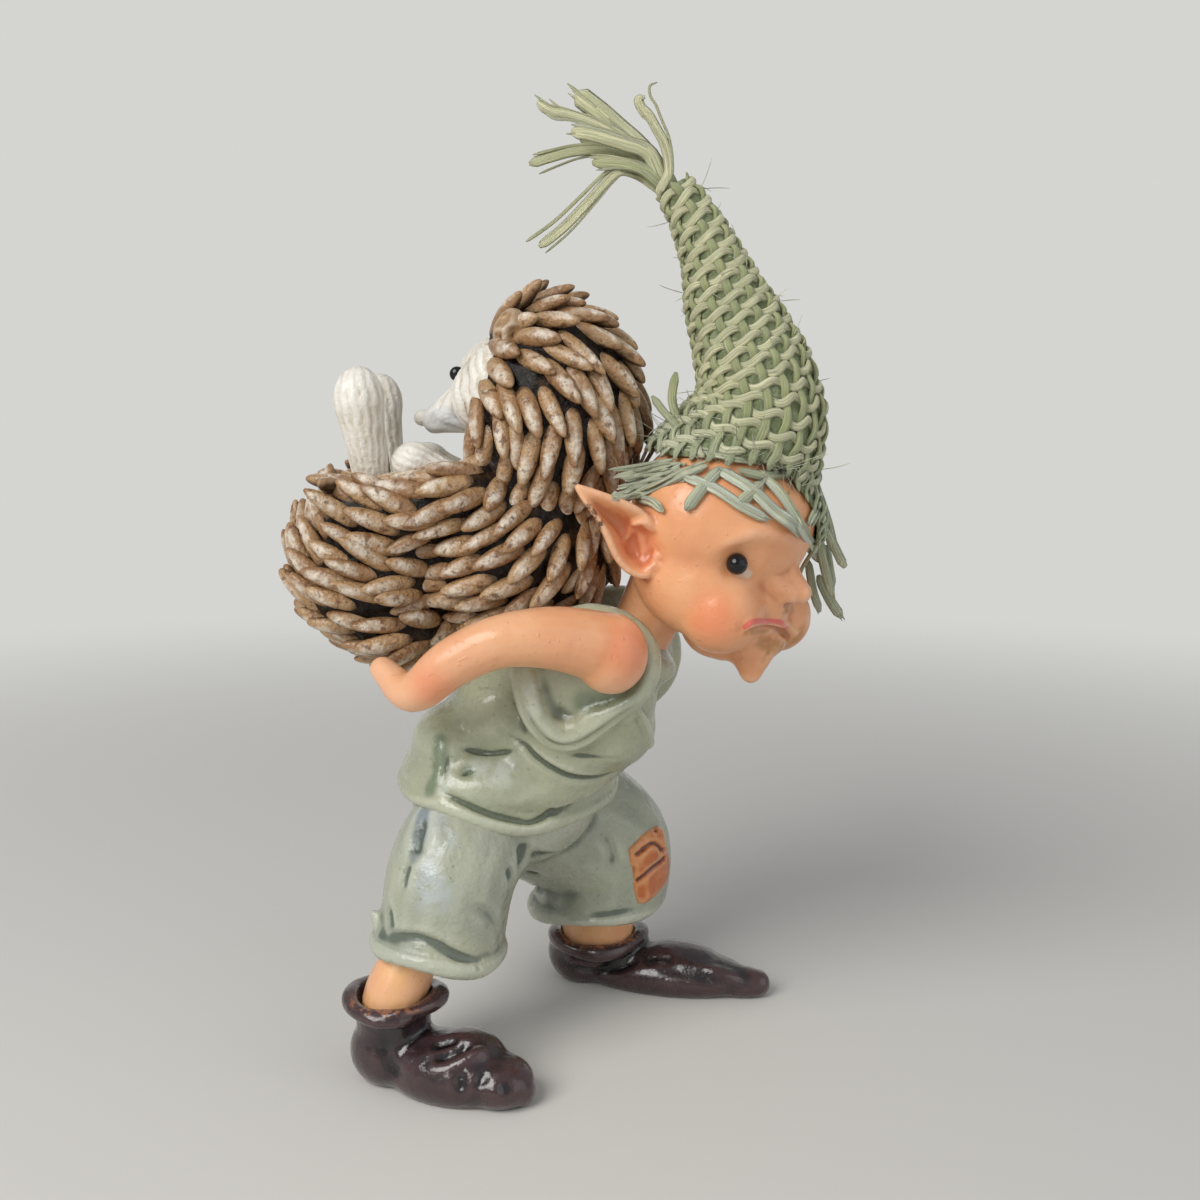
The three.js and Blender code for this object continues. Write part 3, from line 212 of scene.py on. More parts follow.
# The boots: slouched leather boots cast in resin, with a rolled cuff and folds over the instep.
# They are painted aubergine black and varnished, and the thin edges of the cuffs show copper.
# The right one is short, the left one long and flat, and each sole is rubbed flat.
in_place = Matrix.Translation(figure_offset) @ Matrix.Scale(0.001, 4)
bench = in_place
batch = []


def lump(centre, half, turn=(0, 0, 0)):
    bpy.ops.mesh.primitive_uv_sphere_add(segments=32, ring_count=20, radius=1)
    ball = bpy.context.object
    tilt = Euler([math.radians(a) for a in turn]).to_matrix().to_4x4()
    ball.data.transform(bench @ Matrix.Translation(centre) @ tilt @ Matrix.Diagonal((*half, 1)))
    batch.append(ball)


def bent(points, closed=False, steps=8):
    knots = np.array(points, float)
    count = len(knots)
    if not closed:
        knots = np.vstack([2 * knots[0] - knots[1], knots, 2 * knots[-1] - knots[-2]])
    line = []
    for n in range(count if closed else count - 1):
        a, b, c, d = (knots[(n + k) % len(knots)] for k in range(4))
        for t in np.linspace(0, 1, steps, endpoint=False):
            line.append(b + 0.5 * t * (c - a + t * (2 * a - 5 * b + 4 * c - d + t * (3 * (b - c) + d - a))))
    if not closed:
        line.append(knots[-2])
    return np.array(line)


def only(piece):
    bpy.ops.object.select_all(action="DESELECT")
    piece.select_set(True)
    bpy.context.view_layer.objects.active = piece


def roll_out(points, radii, closed=False):
    """A bar of clay, rolled out and bent through points; each point has its own radius."""
    line = bent([(*p, r) for p, r in zip(points, radii)], closed)
    bar = bpy.data.curves.new("bar", "CURVE")
    bar.dimensions = "3D"
    bar.bevel_depth = 1
    bar.bevel_resolution = 6
    bar.use_fill_caps = not closed
    run = bar.splines.new("POLY")
    run.points.add(len(line) - 1)
    run.use_cyclic_u = closed
    for knot, (x, y, z, r) in zip(run.points, line):
        knot.co = (x, y, z, 1)
        knot.radius = r
    held = bpy.data.objects.new("bar", bar)
    scene.collection.objects.link(held)
    only(held)
    bpy.ops.object.convert(target="MESH")
    held = bpy.context.object
    held.data.transform(bench)
    batch.append(held)
    if not closed:
        for p, r in ((points[0], radii[0]), (points[-1], radii[-1])):
            lump(p, (0.99 * r, 0.99 * r, 0.99 * r))


def apply_modifier(piece, kind, **settings):
    only(piece)
    tool = piece.modifiers.new("tool", kind)
    for setting, value in settings.items():
        setattr(tool, setting, value)
    bpy.ops.object.modifier_apply(modifier="tool")


def soften(piece, rounds):
    apply_modifier(piece, "SMOOTH", factor=0.5, iterations=rounds)


def cured(name, grain, rounds):
    """The clay on the bench worked into one skin, with its joins smoothed over."""
    bpy.ops.object.select_all(action="DESELECT")
    for part in batch:
        part.select_set(True)
    bpy.context.view_layer.objects.active = batch[0]
    bpy.ops.object.join()
    piece = bpy.context.object
    piece.name = piece.data.name = name
    batch.clear()
    apply_modifier(piece, "REMESH", mode="VOXEL", voxel_size=grain / 1000)
    soften(piece, rounds)
    bpy.ops.object.shade_smooth()
    return piece


def corners(piece):
    flat = np.empty(3 * len(piece.data.vertices))
    piece.data.vertices.foreach_get("co", flat)
    return flat.reshape(-1, 3)


def facings(piece):
    flat = np.empty(3 * len(piece.data.vertices))
    piece.data.vertex_normals.foreach_get("vector", flat)
    return flat.reshape(-1, 3)


def move_corners(piece, places):
    piece.data.vertices.foreach_set("co", places.ravel())
    piece.data.update()


FAR_OFF = 9.0
TOOL_FADE, TOOL_LEAST = 4, 0.15


def near_line(places, line):
    """The distance of each place from a line, and its share along it."""
    best = np.full(len(places), FAR_OFF)
    share = np.zeros(len(places))
    for n in range(len(line) - 1):
        run = line[n + 1] - line[n]
        t = np.clip((places - line[n]) @ run / max(run @ run, 1e-18), 0, 1)
        away = np.linalg.norm(places - line[n] - t[:, None] * run, axis=1)
        closer = away < best
        best[closer] = away[closer]
        share[closer] = (n + t[closer]) / (len(line) - 1)
    return best, share


def stroke(piece, points, width):
    """How strongly a stroke along points, this wide to each side, meets each corner, and the share along it."""
    line = bent(points, steps=5) if len(points) > 1 else np.array([points[0], points[0]])
    away, share = near_line(corners(piece), line)
    fall = np.clip(1 - away / (width / 1000), 0, 1)
    return fall * fall * (3 - 2 * fall), share


def carve(piece, points, width, depth, open_ends=True):
    """Draws a rounded tool along points: a groove, or with a depth below zero a ridge. Millimetres."""
    if len(points) < 1:
        return
    fall, share = stroke(piece, points, width)
    if open_ends and len(points) > 1:
        fall *= np.clip(TOOL_FADE * share, TOOL_LEAST, 1) * np.clip(TOOL_FADE * (1 - share), TOOL_LEAST, 1)
    move_corners(piece, corners(piece) - facings(piece) * (depth / 1000 * fall)[:, None])


PICTURE = 1200


def sight(u, v):
    """The camera's line through a place in the picture."""
    towards = Vector(((u - PICTURE / 2) / PICTURE, (PICTURE / 2 - v) / PICTURE, -1))
    return (camera.rotation_euler.to_matrix() @ towards).normalized()


def look(piece, places):
    """The hits of the camera's lines through places in the picture on a piece: found, place, facing, face."""
    bpy.context.view_layer.update()
    return [piece.ray_cast(camera.location, sight(u, v)) for u, v in places]


def seen_on(piece, *places):
    return [np.array(hit[1]) for hit in look(piece, places) if hit[0]]


def tool_marks(piece, *marks, open_ends=True):
    """Each mark is a row of places in the picture, a width and a depth in millimetres."""
    for places, width, depth in marks:
        carve(piece, seen_on(piece, *places), width, depth, open_ends)


def press_flat(piece, point, normal, reach=FAR_OFF):
    """Rubs off what stands beyond a plane, back to it."""
    places = corners(piece)
    away = places - np.array(point)
    over = away @ np.array(normal)
    beyond = (over > 0) & (np.linalg.norm(away, axis=1) < reach)
    places[beyond] -= over[beyond, None] * np.array(normal)
    move_corners(piece, places)


def note(piece, name, values):
    mark = piece.data.attributes.get(name) or piece.data.attributes.new(name, "FLOAT", "POINT")
    mark.data.foreach_set("value", np.asarray(values, np.float32))


def mark_hollows(piece, rounds=24):
    """Notes how deep each corner lies below its neighbourhood, in millimetres, for painted shade in the hollows and
    painted highlights on raised places.
    """
    pairs = np.empty(2 * len(piece.data.edges), np.int32)
    piece.data.edges.foreach_get("vertices", pairs)
    a, b = pairs.reshape(-1, 2).T
    places = corners(piece)
    count = len(places)
    links = np.bincount(a, minlength=count) + np.bincount(b, minlength=count)
    mean = places.copy()
    for _ in range(rounds):
        for axis in range(3):
            column = mean[:, axis]
            total = np.bincount(a, column[b], count) + np.bincount(b, column[a], count)
            mean[:, axis] = 0.4 * column + 0.6 * total / np.maximum(links, 1)
    note(piece, "hollow", 1000 * ((mean - places) * facings(piece)).sum(1))


def daub(piece, name, points, width):
    """Notes a dab or stroke of colour along points, soft at its edge. Millimetres."""
    fall, _ = stroke(piece, points, width)
    before = np.zeros(len(fall), np.float32)
    old = piece.data.attributes.get(name)
    if old:
        old.data.foreach_get("value", before)
    note(piece, name, np.maximum(before, fall))


def finish(piece, paint, slot, *nodes):
    piece.data.materials.clear()
    piece.data.materials.append(paint.material)
    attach(piece, "root")
    if nodes:
        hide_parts(*nodes)


boot_paint = Paint("boot_lacquer", (0.020, 0.012, 0.014), 0.2, coat=0.6)
boot_paint.coats(
    ((0.052, 0.026, 0.030), 1, (4.5, 0.42, 0.66)),
    # Painted highlight on the raised places and painted shade, near black, in the creases.
    ((0.085, 0.042, 0.040), 0.55, ("hollow", -0.02, -0.14)),
    ((0.005, 0.004, 0.005), 0.85, ("hollow", 0.02, 0.16)),
    ((0.34, 0.13, 0.06), 0.8, ("rubbed", 0.25, 0.9), (0.8, 0.47, 0.62)))
boot_paint.rough((1.6, 0.35, 0.7), 0.10, 0.30)
boot_paint.bumps((1.1, 0.3, 0.75, 4), 0.12, 0.5)


def wheel(count):
    return [2 * math.pi * n / count for n in range(count)]


CUFF_REACH, WELL_RIM, WELL_DEPTH = 0.0085, 0.0016, 0.0022


def boot(node, heel, turn, length, width, vamp, toe_cap, cuff_lead, cuff_height, cuff_radius, folds):
    global bench
    bench = in_place @ Matrix.Translation(heel) @ Matrix.Rotation(math.radians(turn), 4, "Z")
    toe = length - 6.7
    ball = 0.45 * toe
    lump((0, 0, 3.6), (5, 4.75, 4.6))
    lump((ball, 0, 0.38 * vamp), (0.52 * toe, width / 2, 0.62 * vamp))
    lump((ball + 2.2, 0.5, 0.42 * vamp), (0.3 * toe, 0.46 * width, 0.66 * vamp))
    roll_out([(ball, 0, 0.42 * vamp), (0.75 * toe, 0, 0.36 * vamp), (toe, 0, 1.8)], [0.5 * vamp, 0.42 * vamp, 1.9])
    lump((toe + 1.6 - toe_cap[0], 0, 0.8 * toe_cap[2]), toe_cap)
    roll_out([(0, 0, 3.75), (cuff_lead, 0, cuff_height)], [0.82 * cuff_radius, 0.94 * cuff_radius])
    piece = cured(node + "_cast", 0.42, 6)
    top = bench @ Vector((cuff_lead, 0, cuff_height))
    press_flat(piece, top, (0, 0, 1), CUFF_REACH)
    around = wheel(14)
    lip = cuff_radius + 0.15
    batch.append(piece)
    roll_out(
        [(cuff_lead + (lip + 0.25 * math.sin(3 * a)) * math.cos(a), (lip + 0.2 * math.cos(2 * a)) * math.sin(a),
          cuff_height + 0.28 * math.sin(2 * a + 1)) for a in around],
        [1.05 + 0.15 * math.sin(4 * a) for a in around], closed=True)
    piece = cured(node + "_cast", 0.3, 4)
    tool_marks(piece, *folds)
    places = corners(piece)
    away = np.linalg.norm((places - np.array(top))[:, :2], axis=1)
    well = np.clip(1 - away / (0.86 * cuff_radius / 1000), 0, 1) ** 0.35
    places[:, 2] -= np.where(places[:, 2] > top.z - WELL_RIM, WELL_DEPTH * well, 0)
    move_corners(piece, places)
    press_flat(piece, (0, 0, 0.0001), (0, 0, -1))
    soften(piece, 2)
    press_flat(piece, (0, 0, 0), (0, 0, -1))
    mark_hollows(piece)
    rim = [np.array(bench @ Vector((cuff_lead + lip * math.cos(a), lip * math.sin(a), cuff_height + 0.6)))
           for a in around + [0.0]]
    daub(piece, "rubbed", rim, 1.1)
    finish(piece, boot_paint, "boot", node)
    bench = in_place


boot(
    "right_boot", heel=(-19.3, -13.2, 0), turn=-23, length=23.4, width=10.4, vamp=6.6, toe_cap=(4.4, 3.9, 2.9),
    cuff_lead=0.4, cuff_height=9.6, cuff_radius=4.9, folds=[
        ([(431, 1062), (446, 1057), (462, 1049), (474, 1043)], 1.5, 0.95),
        ([(428, 1046), (446, 1043), (462, 1039)], 1.2, 0.6),
        ([(388, 1028), (384, 1048), (392, 1068), (408, 1078)], 1.5, 0.45),
        ([(424, 1070), (450, 1064), (478, 1053), (490, 1056)], 1.3, -0.5),
        ([(456, 1072), (461, 1083), (457, 1094)], 1.2, 0.45),
        ([(478, 1074), (484, 1086)], 1.2, 0.35),
        ([(501, 1082), (508, 1096)], 1.1, 0.35),
        ([(360, 1012), (400, 1020), (430, 1014)], 1.3, 0.4),
        ([(381, 1002), (382, 1024)], 0.6, 0.35)])
boot(
    "left_boot", heel=(2.7, 14, 0), turn=-16, length=31, width=10, vamp=5.6, toe_cap=(4.6, 2.6, 1.9),
    cuff_lead=2, cuff_height=6, cuff_radius=5.7, folds=[
        ([(566, 962), (590, 970), (620, 968), (642, 956)], 1.3, 0.7),
        ([(560, 952), (580, 962), (608, 964)], 1.0, -0.4),
        ([(640, 962), (660, 958), (676, 962)], 1.2, 0.4),
        ([(656, 968), (690, 974), (720, 982)], 1.6, 0.35),
        ([(700, 966), (726, 974), (748, 982)], 1.3, -0.3)])


# The shins: bare flesh-coloured legs that stand in the boots and go up into the trouser legs.
# Each is a casting of its own, glued into both, and brushed with the same satin paint as the face and arms.
def flesh(name):
    paint = Paint(name, (0.80, 0.355, 0.165), 0.36, coat=0.25)
    paint.coats(
        ((0.86, 0.44, 0.215), 1, (9, 0.35, 0.7)),
        ((0.74, 0.28, 0.125), 0.5, (5, 0.52, 0.75)),
        # Painted highlight on the raised places and painted shade in the hollows of the skin.
        ((0.90, 0.53, 0.33), 0.55, ("hollow", -0.03, -0.2)),
        ((0.50, 0.15, 0.055), 0.75, ("hollow", 0.02, 0.2)))
    paint.rough((2.2, 0.3, 0.75), 0.28, 0.46)
    paint.bumps((0.55, 0.66, 0.8, 1), 0.1, 0.6)
    paint.bumps((1.8, 0.3, 0.7), 0.12, 0.35)
    return paint


shin_paint = flesh("shin_flesh")
shin_paint.coats(((0.88, 0.50, 0.20), 0.6, (3.5, 0.4, 0.66)))
for side, path, radii in [
    ("right", [(-19.2, -13.3, 4), (-18.9, -13.4, 9.4), (-16.6, -12.4, 15), (-13.8, -11.3, 20)], [2.8, 3.75, 3.2, 3.3]),
    ("left", [(4.6, 13.5, 3), (4.7, 13.4, 6), (4.6, 12.3, 12), (4.6, 12, 16.6)], [3, 4.9, 4.7, 4.9]),
]:
    roll_out(path, radii)
    shin = cured(side + "_shin", 0.4, 6)
    mark_hollows(shin)
    finish(shin, shin_paint, "skin", side + "_ankle")


# The trousers: one casting of two wide, short barrel legs under the tunic, with turned-up hems.
# Grey-green satin paint with a painted blue-white sheen on the thighs, painted highlights on raised places and painted
# shade in every crease, darkest along the pocket crease.
lump((-7, 0.5, 29), (11.5, 12, 7.5))
roll_out([(-9.5, -5, 28), (-12.4, -10.1, 23.5), (-13.8, -11.3, 13)], [7.7, 7.7, 7.2])
roll_out([(-4, 6.5, 26.5), (5.1, 11, 20.1), (4.6, 12, 10)], [9.4, 9.3, 8.8])
trousers = cured("trousers_cast", 0.5, 10)
RIGHT_LEG_END, LEFT_LEG_END, LEG_REACH = (-13.8, -11.3, 15), (4.6, 12, 11.6), 0.0135
for end, tilt in ((RIGHT_LEG_END, -8), (LEFT_LEG_END, 5)):
    down = Vector((math.sin(math.radians(tilt)), 0, -math.cos(math.radians(tilt))))
    press_flat(trousers, spot(*end), down, LEG_REACH)


def turn_up(centre, radius, tilt, roll, wave):
    slope = math.tan(math.radians(tilt))
    points = []
    for a in wheel(16):
        x = radius * math.cos(a)
        rise = wave * math.sin(3 * a + 0.6)
        points.append((centre[0] + x, centre[1] + radius * math.sin(a), centre[2] + 0.5 - slope * x + rise))
    roll_out(points, [roll * (1 + 0.12 * math.sin(5 * n)) for n in range(16)], closed=True)


def sighted(*places):
    """Places in the picture, each with a depth, in millimetres of the figure."""
    found = []
    for u, v, depth in places:
        ray = sight(u, v)
        reach = (figure_offset.y + depth / 1000 - camera.location.y) / ray.y
        found.append(tuple(1000 * (camera.location + reach * ray - figure_offset)))
    return found


def brush(piece, *strokes):
    """Each stroke is the name of its mark, a width in millimetres and its places in the picture."""
    for name, width, *places in strokes:
        daub(piece, name, seen_on(piece, *places), width)


batch.append(trousers)
turn_up(RIGHT_LEG_END, radius=6.9, tilt=8, roll=1.15, wave=0.35)
turn_up(LEFT_LEG_END, radius=8.5, tilt=-5, roll=1.05, wave=0.25)
roll_out(sighted((389, 938, -13.5), (381, 926, -13), (374, 914, -12.5)), [1.0, 0.9, 0.6])
trousers = cured("trousers_cast", 0.36, 5)
tool_marks(
    trousers,
    ([(424, 812), (420, 830), (416, 848), (414, 856)], 1.5, 0.7),
    ([(411, 862), (406, 874), (403, 893)], 0.7, 0.45),
    ([(432, 818), (436, 836), (430, 850)], 1.0, -0.3),
    ([(385, 934), (398, 936), (420, 938), (440, 946), (462, 958), (490, 966)], 0.9, 0.5),
    ([(388, 905), (389, 920), (392, 932)], 1.1, 0.55),
    ([(522, 842), (522, 868), (520, 895), (514, 930)], 1.4, 0.9),
    ([(524, 850), (550, 856), (580, 862)], 1.3, 0.6),
    ([(508, 868), (512, 880)], 0.9, 0.6),
    ([(524, 872), (532, 874), (540, 876)], 0.8, 0.55),
    ([(524, 884), (526, 897), (524, 905)], 0.9, 0.6),
    ([(536, 886), (543, 892)], 0.9, 0.5),
    ([(530, 880), (534, 892), (531, 905)], 0.8, -0.35),
    ([(522, 922), (550, 922), (590, 918), (640, 908)], 1.0, 0.4),
    ([(600, 830), (612, 850), (612, 872)], 1.2, 0.3),
    ([(470, 905), (488, 915), (500, 935)], 1.1, 0.25))
soften(trousers, 2)
mark_hollows(trousers)
# Painted light on the trousers: a blue-white sheen on the thighs and shade along the pocket crease.
brush(
    trousers,
    ("painted_sheen", 4.2, (428, 880), (432, 892)),
    ("painted_sheen", 3.0, (425, 812), (440, 840)),
    ("crease_shade", 1.6, (424, 812), (420, 832), (415, 856)),
    ("pale", 4.0, (470, 960), (490, 962), (440, 955)))
cloth_paint = Paint("trouser_enamel", (0.335, 0.355, 0.275), 0.34, coat=0.3)
cloth_paint.coats(
    ((0.40, 0.42, 0.31), 1, (7, 0.35, 0.7)),
    ((0.46, 0.47, 0.34), 0.7, ("pale", 0.1, 0.9)),
    # Painted sheen, painted highlight and painted shade follow.
    ((0.47, 0.52, 0.56), 0.75, ("painted_sheen", 0.0, 0.9), (2.5, 0.3, 0.62)),
    ((0.56, 0.58, 0.47), 0.6, ("hollow", -0.02, -0.16)),
    ((0.13, 0.17, 0.20), 0.6, ("crease_shade", 0.1, 0.8)),
    ((0.085, 0.11, 0.085), 0.85, ("hollow", 0.015, 0.15)),
    ((0.10, 0.12, 0.10), 0.35, (0.7, 0.66, 0.74, 2)))
cloth_paint.rough((1.8, 0.3, 0.75), 0.22, 0.48)
cloth_paint.bumps((1.0, 0.3, 0.75, 4), 0.14, 0.55)
finish(trousers, cloth_paint, "trousers", "trousers")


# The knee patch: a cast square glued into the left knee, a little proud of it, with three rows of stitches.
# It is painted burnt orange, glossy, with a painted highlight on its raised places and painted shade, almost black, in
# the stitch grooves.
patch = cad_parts["knee_patch"].copy()
patch.data = patch.data.copy()
patch.name = patch.data.name = "patch_cast"
scene.collection.objects.link(patch)
patch.hide_render = False
for key in list(patch.keys()):
    del patch[key]
patch.parent = None
only(patch)
edited(bpy.ops.mesh.select_all, action="SELECT")
edited(bpy.ops.mesh.remove_doubles, threshold=0.00001)
apply_modifier(patch, "REMESH", mode="VOXEL", voxel_size=0.00025)
soften(patch, 6)
bpy.ops.object.shade_smooth()
tool_marks(
    patch,
    ([(617, 848), (632, 836), (648, 827), (656, 830)], 0.55, 0.4),
    ([(620, 864), (637, 855), (653, 843), (664, 850)], 0.55, 0.4),
    ([(637, 881), (651, 870), (665, 858), (671, 862)], 0.55, 0.4),
    ([(646, 824), (660, 850), (670, 872)], 0.5, 0.25),
    open_ends=False)
mark_hollows(patch, 14)
patch_paint = Paint("patch_enamel", (0.50, 0.125, 0.022), 0.22, coat=0.5)
patch_paint.coats(
    ((0.62, 0.19, 0.03), 1, (3, 0.4, 0.65)),
    ((0.34, 0.07, 0.015), 0.6, (1.4, 0.55, 0.72)),
    # Painted highlight on the raised places and painted shade in the stitch grooves.
    ((0.72, 0.36, 0.16), 0.6, ("hollow", -0.02, -0.1)),
    ((0.07, 0.018, 0.01), 0.9, ("hollow", 0.02, 0.1)))
patch_paint.rough((1.5, 0.3, 0.75), 0.14, 0.34)
patch_paint.bumps((0.8, 0.3, 0.75, 4), 0.1, 0.4)
finish(patch, patch_paint, "patch", "knee_patch")


# The tunic: a sleeveless smock cast in one with the body, blousing over its rolled hem.
# A thick rolled edge runs round each armhole and sags under the arm.
# Pale sage green paint, satin, with painted shade in the folds and under the arm, painted highlights on the raised
# places and a painted blue-white sheen on the ridges.
lump((-6, 0.5, 33.6), (13.6, 13.2, 6.4))
lump((-0.95, 0.2, 38), (11, 12.3, 8))
lump((4, 0, 43.5), (8.2, 11.6, 8.4))
lump((5.5, -2, 39.4), (6.4, 9.6, 5.4))
lump((-6.5, 0.2, 41.2), (7.2, 11.2, 7.4))
lump((-12.5, -2.5, 37.8), (5.4, 8.5, 4.6))
lump((-8, -2.5, 33.6), (11.5, 11.2, 5.2))
roll_out([(4, 0, 43.5), (7.8, -0.8, 47.9)], [7.5, 5.6])
lump((4, -10.4, 48), (7.6, 3.4, 7.6))
lump((4.5, -8.2, 40.8), (5.5, 3.8, 3.6))
lump((7, 8.5, 46.4), (7.4, 3.4, 7.4))
right_armhole = sighted(
    (524, 660, -12), (529, 695, -12.4), (540, 719, -12.2), (557, 732, -11.8), (574, 733, -12), (593, 721, -12.6),
    (616, 704, -13), (636, 690, -12.8), (646, 669, -12), (645, 647, -11), (631, 628, -10.2), (612, 618, -9.6),
    (570, 620, -9.6), (540, 634, -10.6))
roll_out(right_armhole, [1.7, 1.9, 2.0, 2.1, 2.1, 2.0, 1.9, 1.9, 1.9, 1.7, 1.5, 1.4, 1.4, 1.5], closed=True)
left_armhole = [(7 + 7.2 * math.cos(a), 11.2 - 1.0 * math.sin(a), 46.2 + 7.4 * math.sin(a)) for a in wheel(14)]
roll_out(left_armhole, [1.8] * 14, closed=True)
collar = [(5.0 * math.cos(a), 5.0 * math.sin(a)) for a in wheel(12)]
roll_out([(8.4 + 0.88 * x, -0.8 + y, 48.6 - 0.47 * x) for x, y in collar], [1.7] * 12, closed=True)
tunic = cured("tunic_cast", 0.5, 13)


HEM_X, HEM_Y, HEM_Z, HEM_TUCK = -5, 0.5, 33, 0.0008
FAR_HEM_STEPS = 22


def hem_height(x, y):
    """The hem is arched over the legs and rises to the belly. Millimetres of the figure."""
    arch = np.where(y < HEM_Y, 36, 26)
    return HEM_Z - arch + np.sqrt(arch ** 2 - np.clip(y - HEM_Y, -15, 15) ** 2) + 0.2 * np.maximum(x, 0)


places = corners(tunic)
from_foot = (places - np.array(figure_offset)) * 1000
lowest = hem_height(from_foot[:, 0], from_foot[:, 1]) / 1000 - HEM_TUCK + figure_offset.z
places[:, 2] = np.maximum(places[:, 2], lowest)
move_corners(tunic, places)
hem = []
for u, v in [(430, 798), (442, 803), (456, 809), (472, 816), (488, 823), (508, 828), (528, 829), (548, 824),
             (570, 815), (591, 805), (608, 796), (620, 789)]:
    hits = look(trousers, [(u, v)]) + look(tunic, [(u, v)])
    near = min((hit for hit in hits if hit[0]), key=lambda hit: (hit[1] - camera.location).length)
    hem.append(1000 * (near[1] - figure_offset))
turns = [math.atan2(p.y - HEM_Y, p.x - HEM_X) for p in hem]
first, last = turns[-1], turns[0] + 2 * math.pi
for n in range(1, FAR_HEM_STEPS):
    a = first + (last - first) * n / FAR_HEM_STEPS
    towards = Vector((math.cos(a), math.sin(a), 0))
    middle = Vector((HEM_X, HEM_Y, hem_height(HEM_X + 12.7 * math.cos(a), HEM_Y + 12.6 * math.sin(a))))
    reaches = []
    for piece in (tunic, trousers):
        hit = piece.ray_cast(spot(*(middle + 30 * towards)), -towards)
        reaches.append(1000 * (hit[1] - spot(*middle)).length if hit[0] else 0)
    hem.append(middle + (min(max(reaches), reaches[0] + 1) - 0.4) * towards)
hem = np.array(hem)
for _ in range(2):
    hem = 0.5 * hem + 0.25 * (np.roll(hem, 1, axis=0) + np.roll(hem, -1, axis=0))
batch.append(tunic)
for shrink, rise, radius in [(1, 0, 1.2), (0.95, 1.3, 1.3), (0.9, 2.6, 1.4)]:
    loop = [(HEM_X + shrink * (x - HEM_X), HEM_Y + shrink * (y - HEM_Y), z + rise) for x, y, z in hem]
    roll_out(loop, [radius] * len(loop), closed=True)
roll_out(sighted((637, 711, -9.6), (644, 727, -8), (648, 742, -6)), [0.6, 0.9, 0.9])
tunic = cured("tunic_cast", 0.3, 6)
tool_marks(
    tunic,
    ([(519, 668), (523, 700), (533, 727), (553, 745), (574, 746), (597, 734), (622, 716), (644, 701)], 0.9, 0.45),
    ([(541, 672), (545, 696), (553, 713), (566, 721)], 1.8, 0.25),
    ([(582, 704), (602, 702), (624, 692), (636, 672), (634, 650), (622, 632)], 1.5, 0.6),
    ([(520, 733), (536, 748), (553, 760), (573, 768), (600, 768)], 1.8, -0.25),
    ([(500, 730), (524, 745), (537, 759), (553, 770), (573, 778), (600, 778), (618, 771)], 0.7, 0.7),
    ([(570, 755), (590, 757), (622, 757)], 0.5, 0.25),
    ([(457, 747), (471, 751), (488, 754), (505, 752), (519, 749)], 0.6, 0.4),
    ([(456, 758), (480, 762), (510, 759)], 1.8, -0.25),
    ([(467, 771), (468, 774)], 1.2, 0.6),
    ([(449, 736), (447, 759), (441, 786)], 0.6, 0.2),
    ([(444, 738), (441, 760), (435, 790)], 0.9, -0.22),
    ([(435, 787), (454, 798), (486, 813), (517, 821), (534, 822), (556, 811), (582, 799), (622, 783)], 0.7, 0.5),
    ([(545, 810), (556, 811), (566, 806)], 0.9, 0.4),
    ([(460, 720), (490, 716), (515, 706)], 2.0, 0.2),
    ([(500, 800), (520, 790), (545, 780)], 1.5, 0.2))
soften(tunic, 1)
mark_hollows(tunic, 16)
# Painted light on the tunic: shade under the arm and in the folds at the back, and a blue-white sheen on the ridges.
brush(
    tunic,
    ("shade", 2.6, (585, 702), (602, 702), (624, 694), (637, 672), (634, 652)),
    ("shade", 1.6, (440, 740), (438, 770), (430, 790)),
    ("shade", 1.6, (467, 772)),
    ("painted_sheen", 2.0, (445, 770), (446, 785)),
    ("painted_sheen", 3.0, (480, 768), (500, 772)),
    ("painted_sheen", 1.6, (530, 690), (534, 715)))
tunic_paint = Paint("tunic_enamel", (0.365, 0.385, 0.265), 0.32, coat=0.35)
tunic_paint.coats(
    ((0.44, 0.45, 0.30), 1, (8, 0.35, 0.7)),
    ((0.34, 0.39, 0.29), 0.5, (4, 0.5, 0.75)),
    # Painted sheen, painted highlight and painted shade follow.
    ((0.58, 0.62, 0.56), 0.7, ("painted_sheen", 0, 0.9), (2, 0.3, 0.62)),
    ((0.60, 0.62, 0.49), 0.6, ("hollow", -0.02, -0.18)),
    ((0.115, 0.165, 0.095), 0.7, ("shade", 0.05, 0.9)),
    ((0.075, 0.10, 0.06), 0.85, ("hollow", 0.025, 0.15)),
    ((0.10, 0.13, 0.08), 0.3, (0.8, 0.66, 0.74, 2)))
tunic_paint.rough((1.8, 0.3, 0.75), 0.2, 0.46)
tunic_paint.bumps((1.0, 0.3, 0.75, 4), 0.12, 0.5)
finish(tunic, tunic_paint, "tunic", "tunic")


# The arms: plain rounded arms glued into the armholes, bent back under the load, with the hands turned up.
# Flesh paint with an orange-red flush on shoulder and elbow, and tiny bubbles left by the casting.
arm_paint = flesh("arm_flesh")
arm_paint.coats(((0.78, 0.20, 0.085), 0.6, ("flush", 0, 1)))


def spots(*points):
    return [np.array(spot(*p)) for p in points]


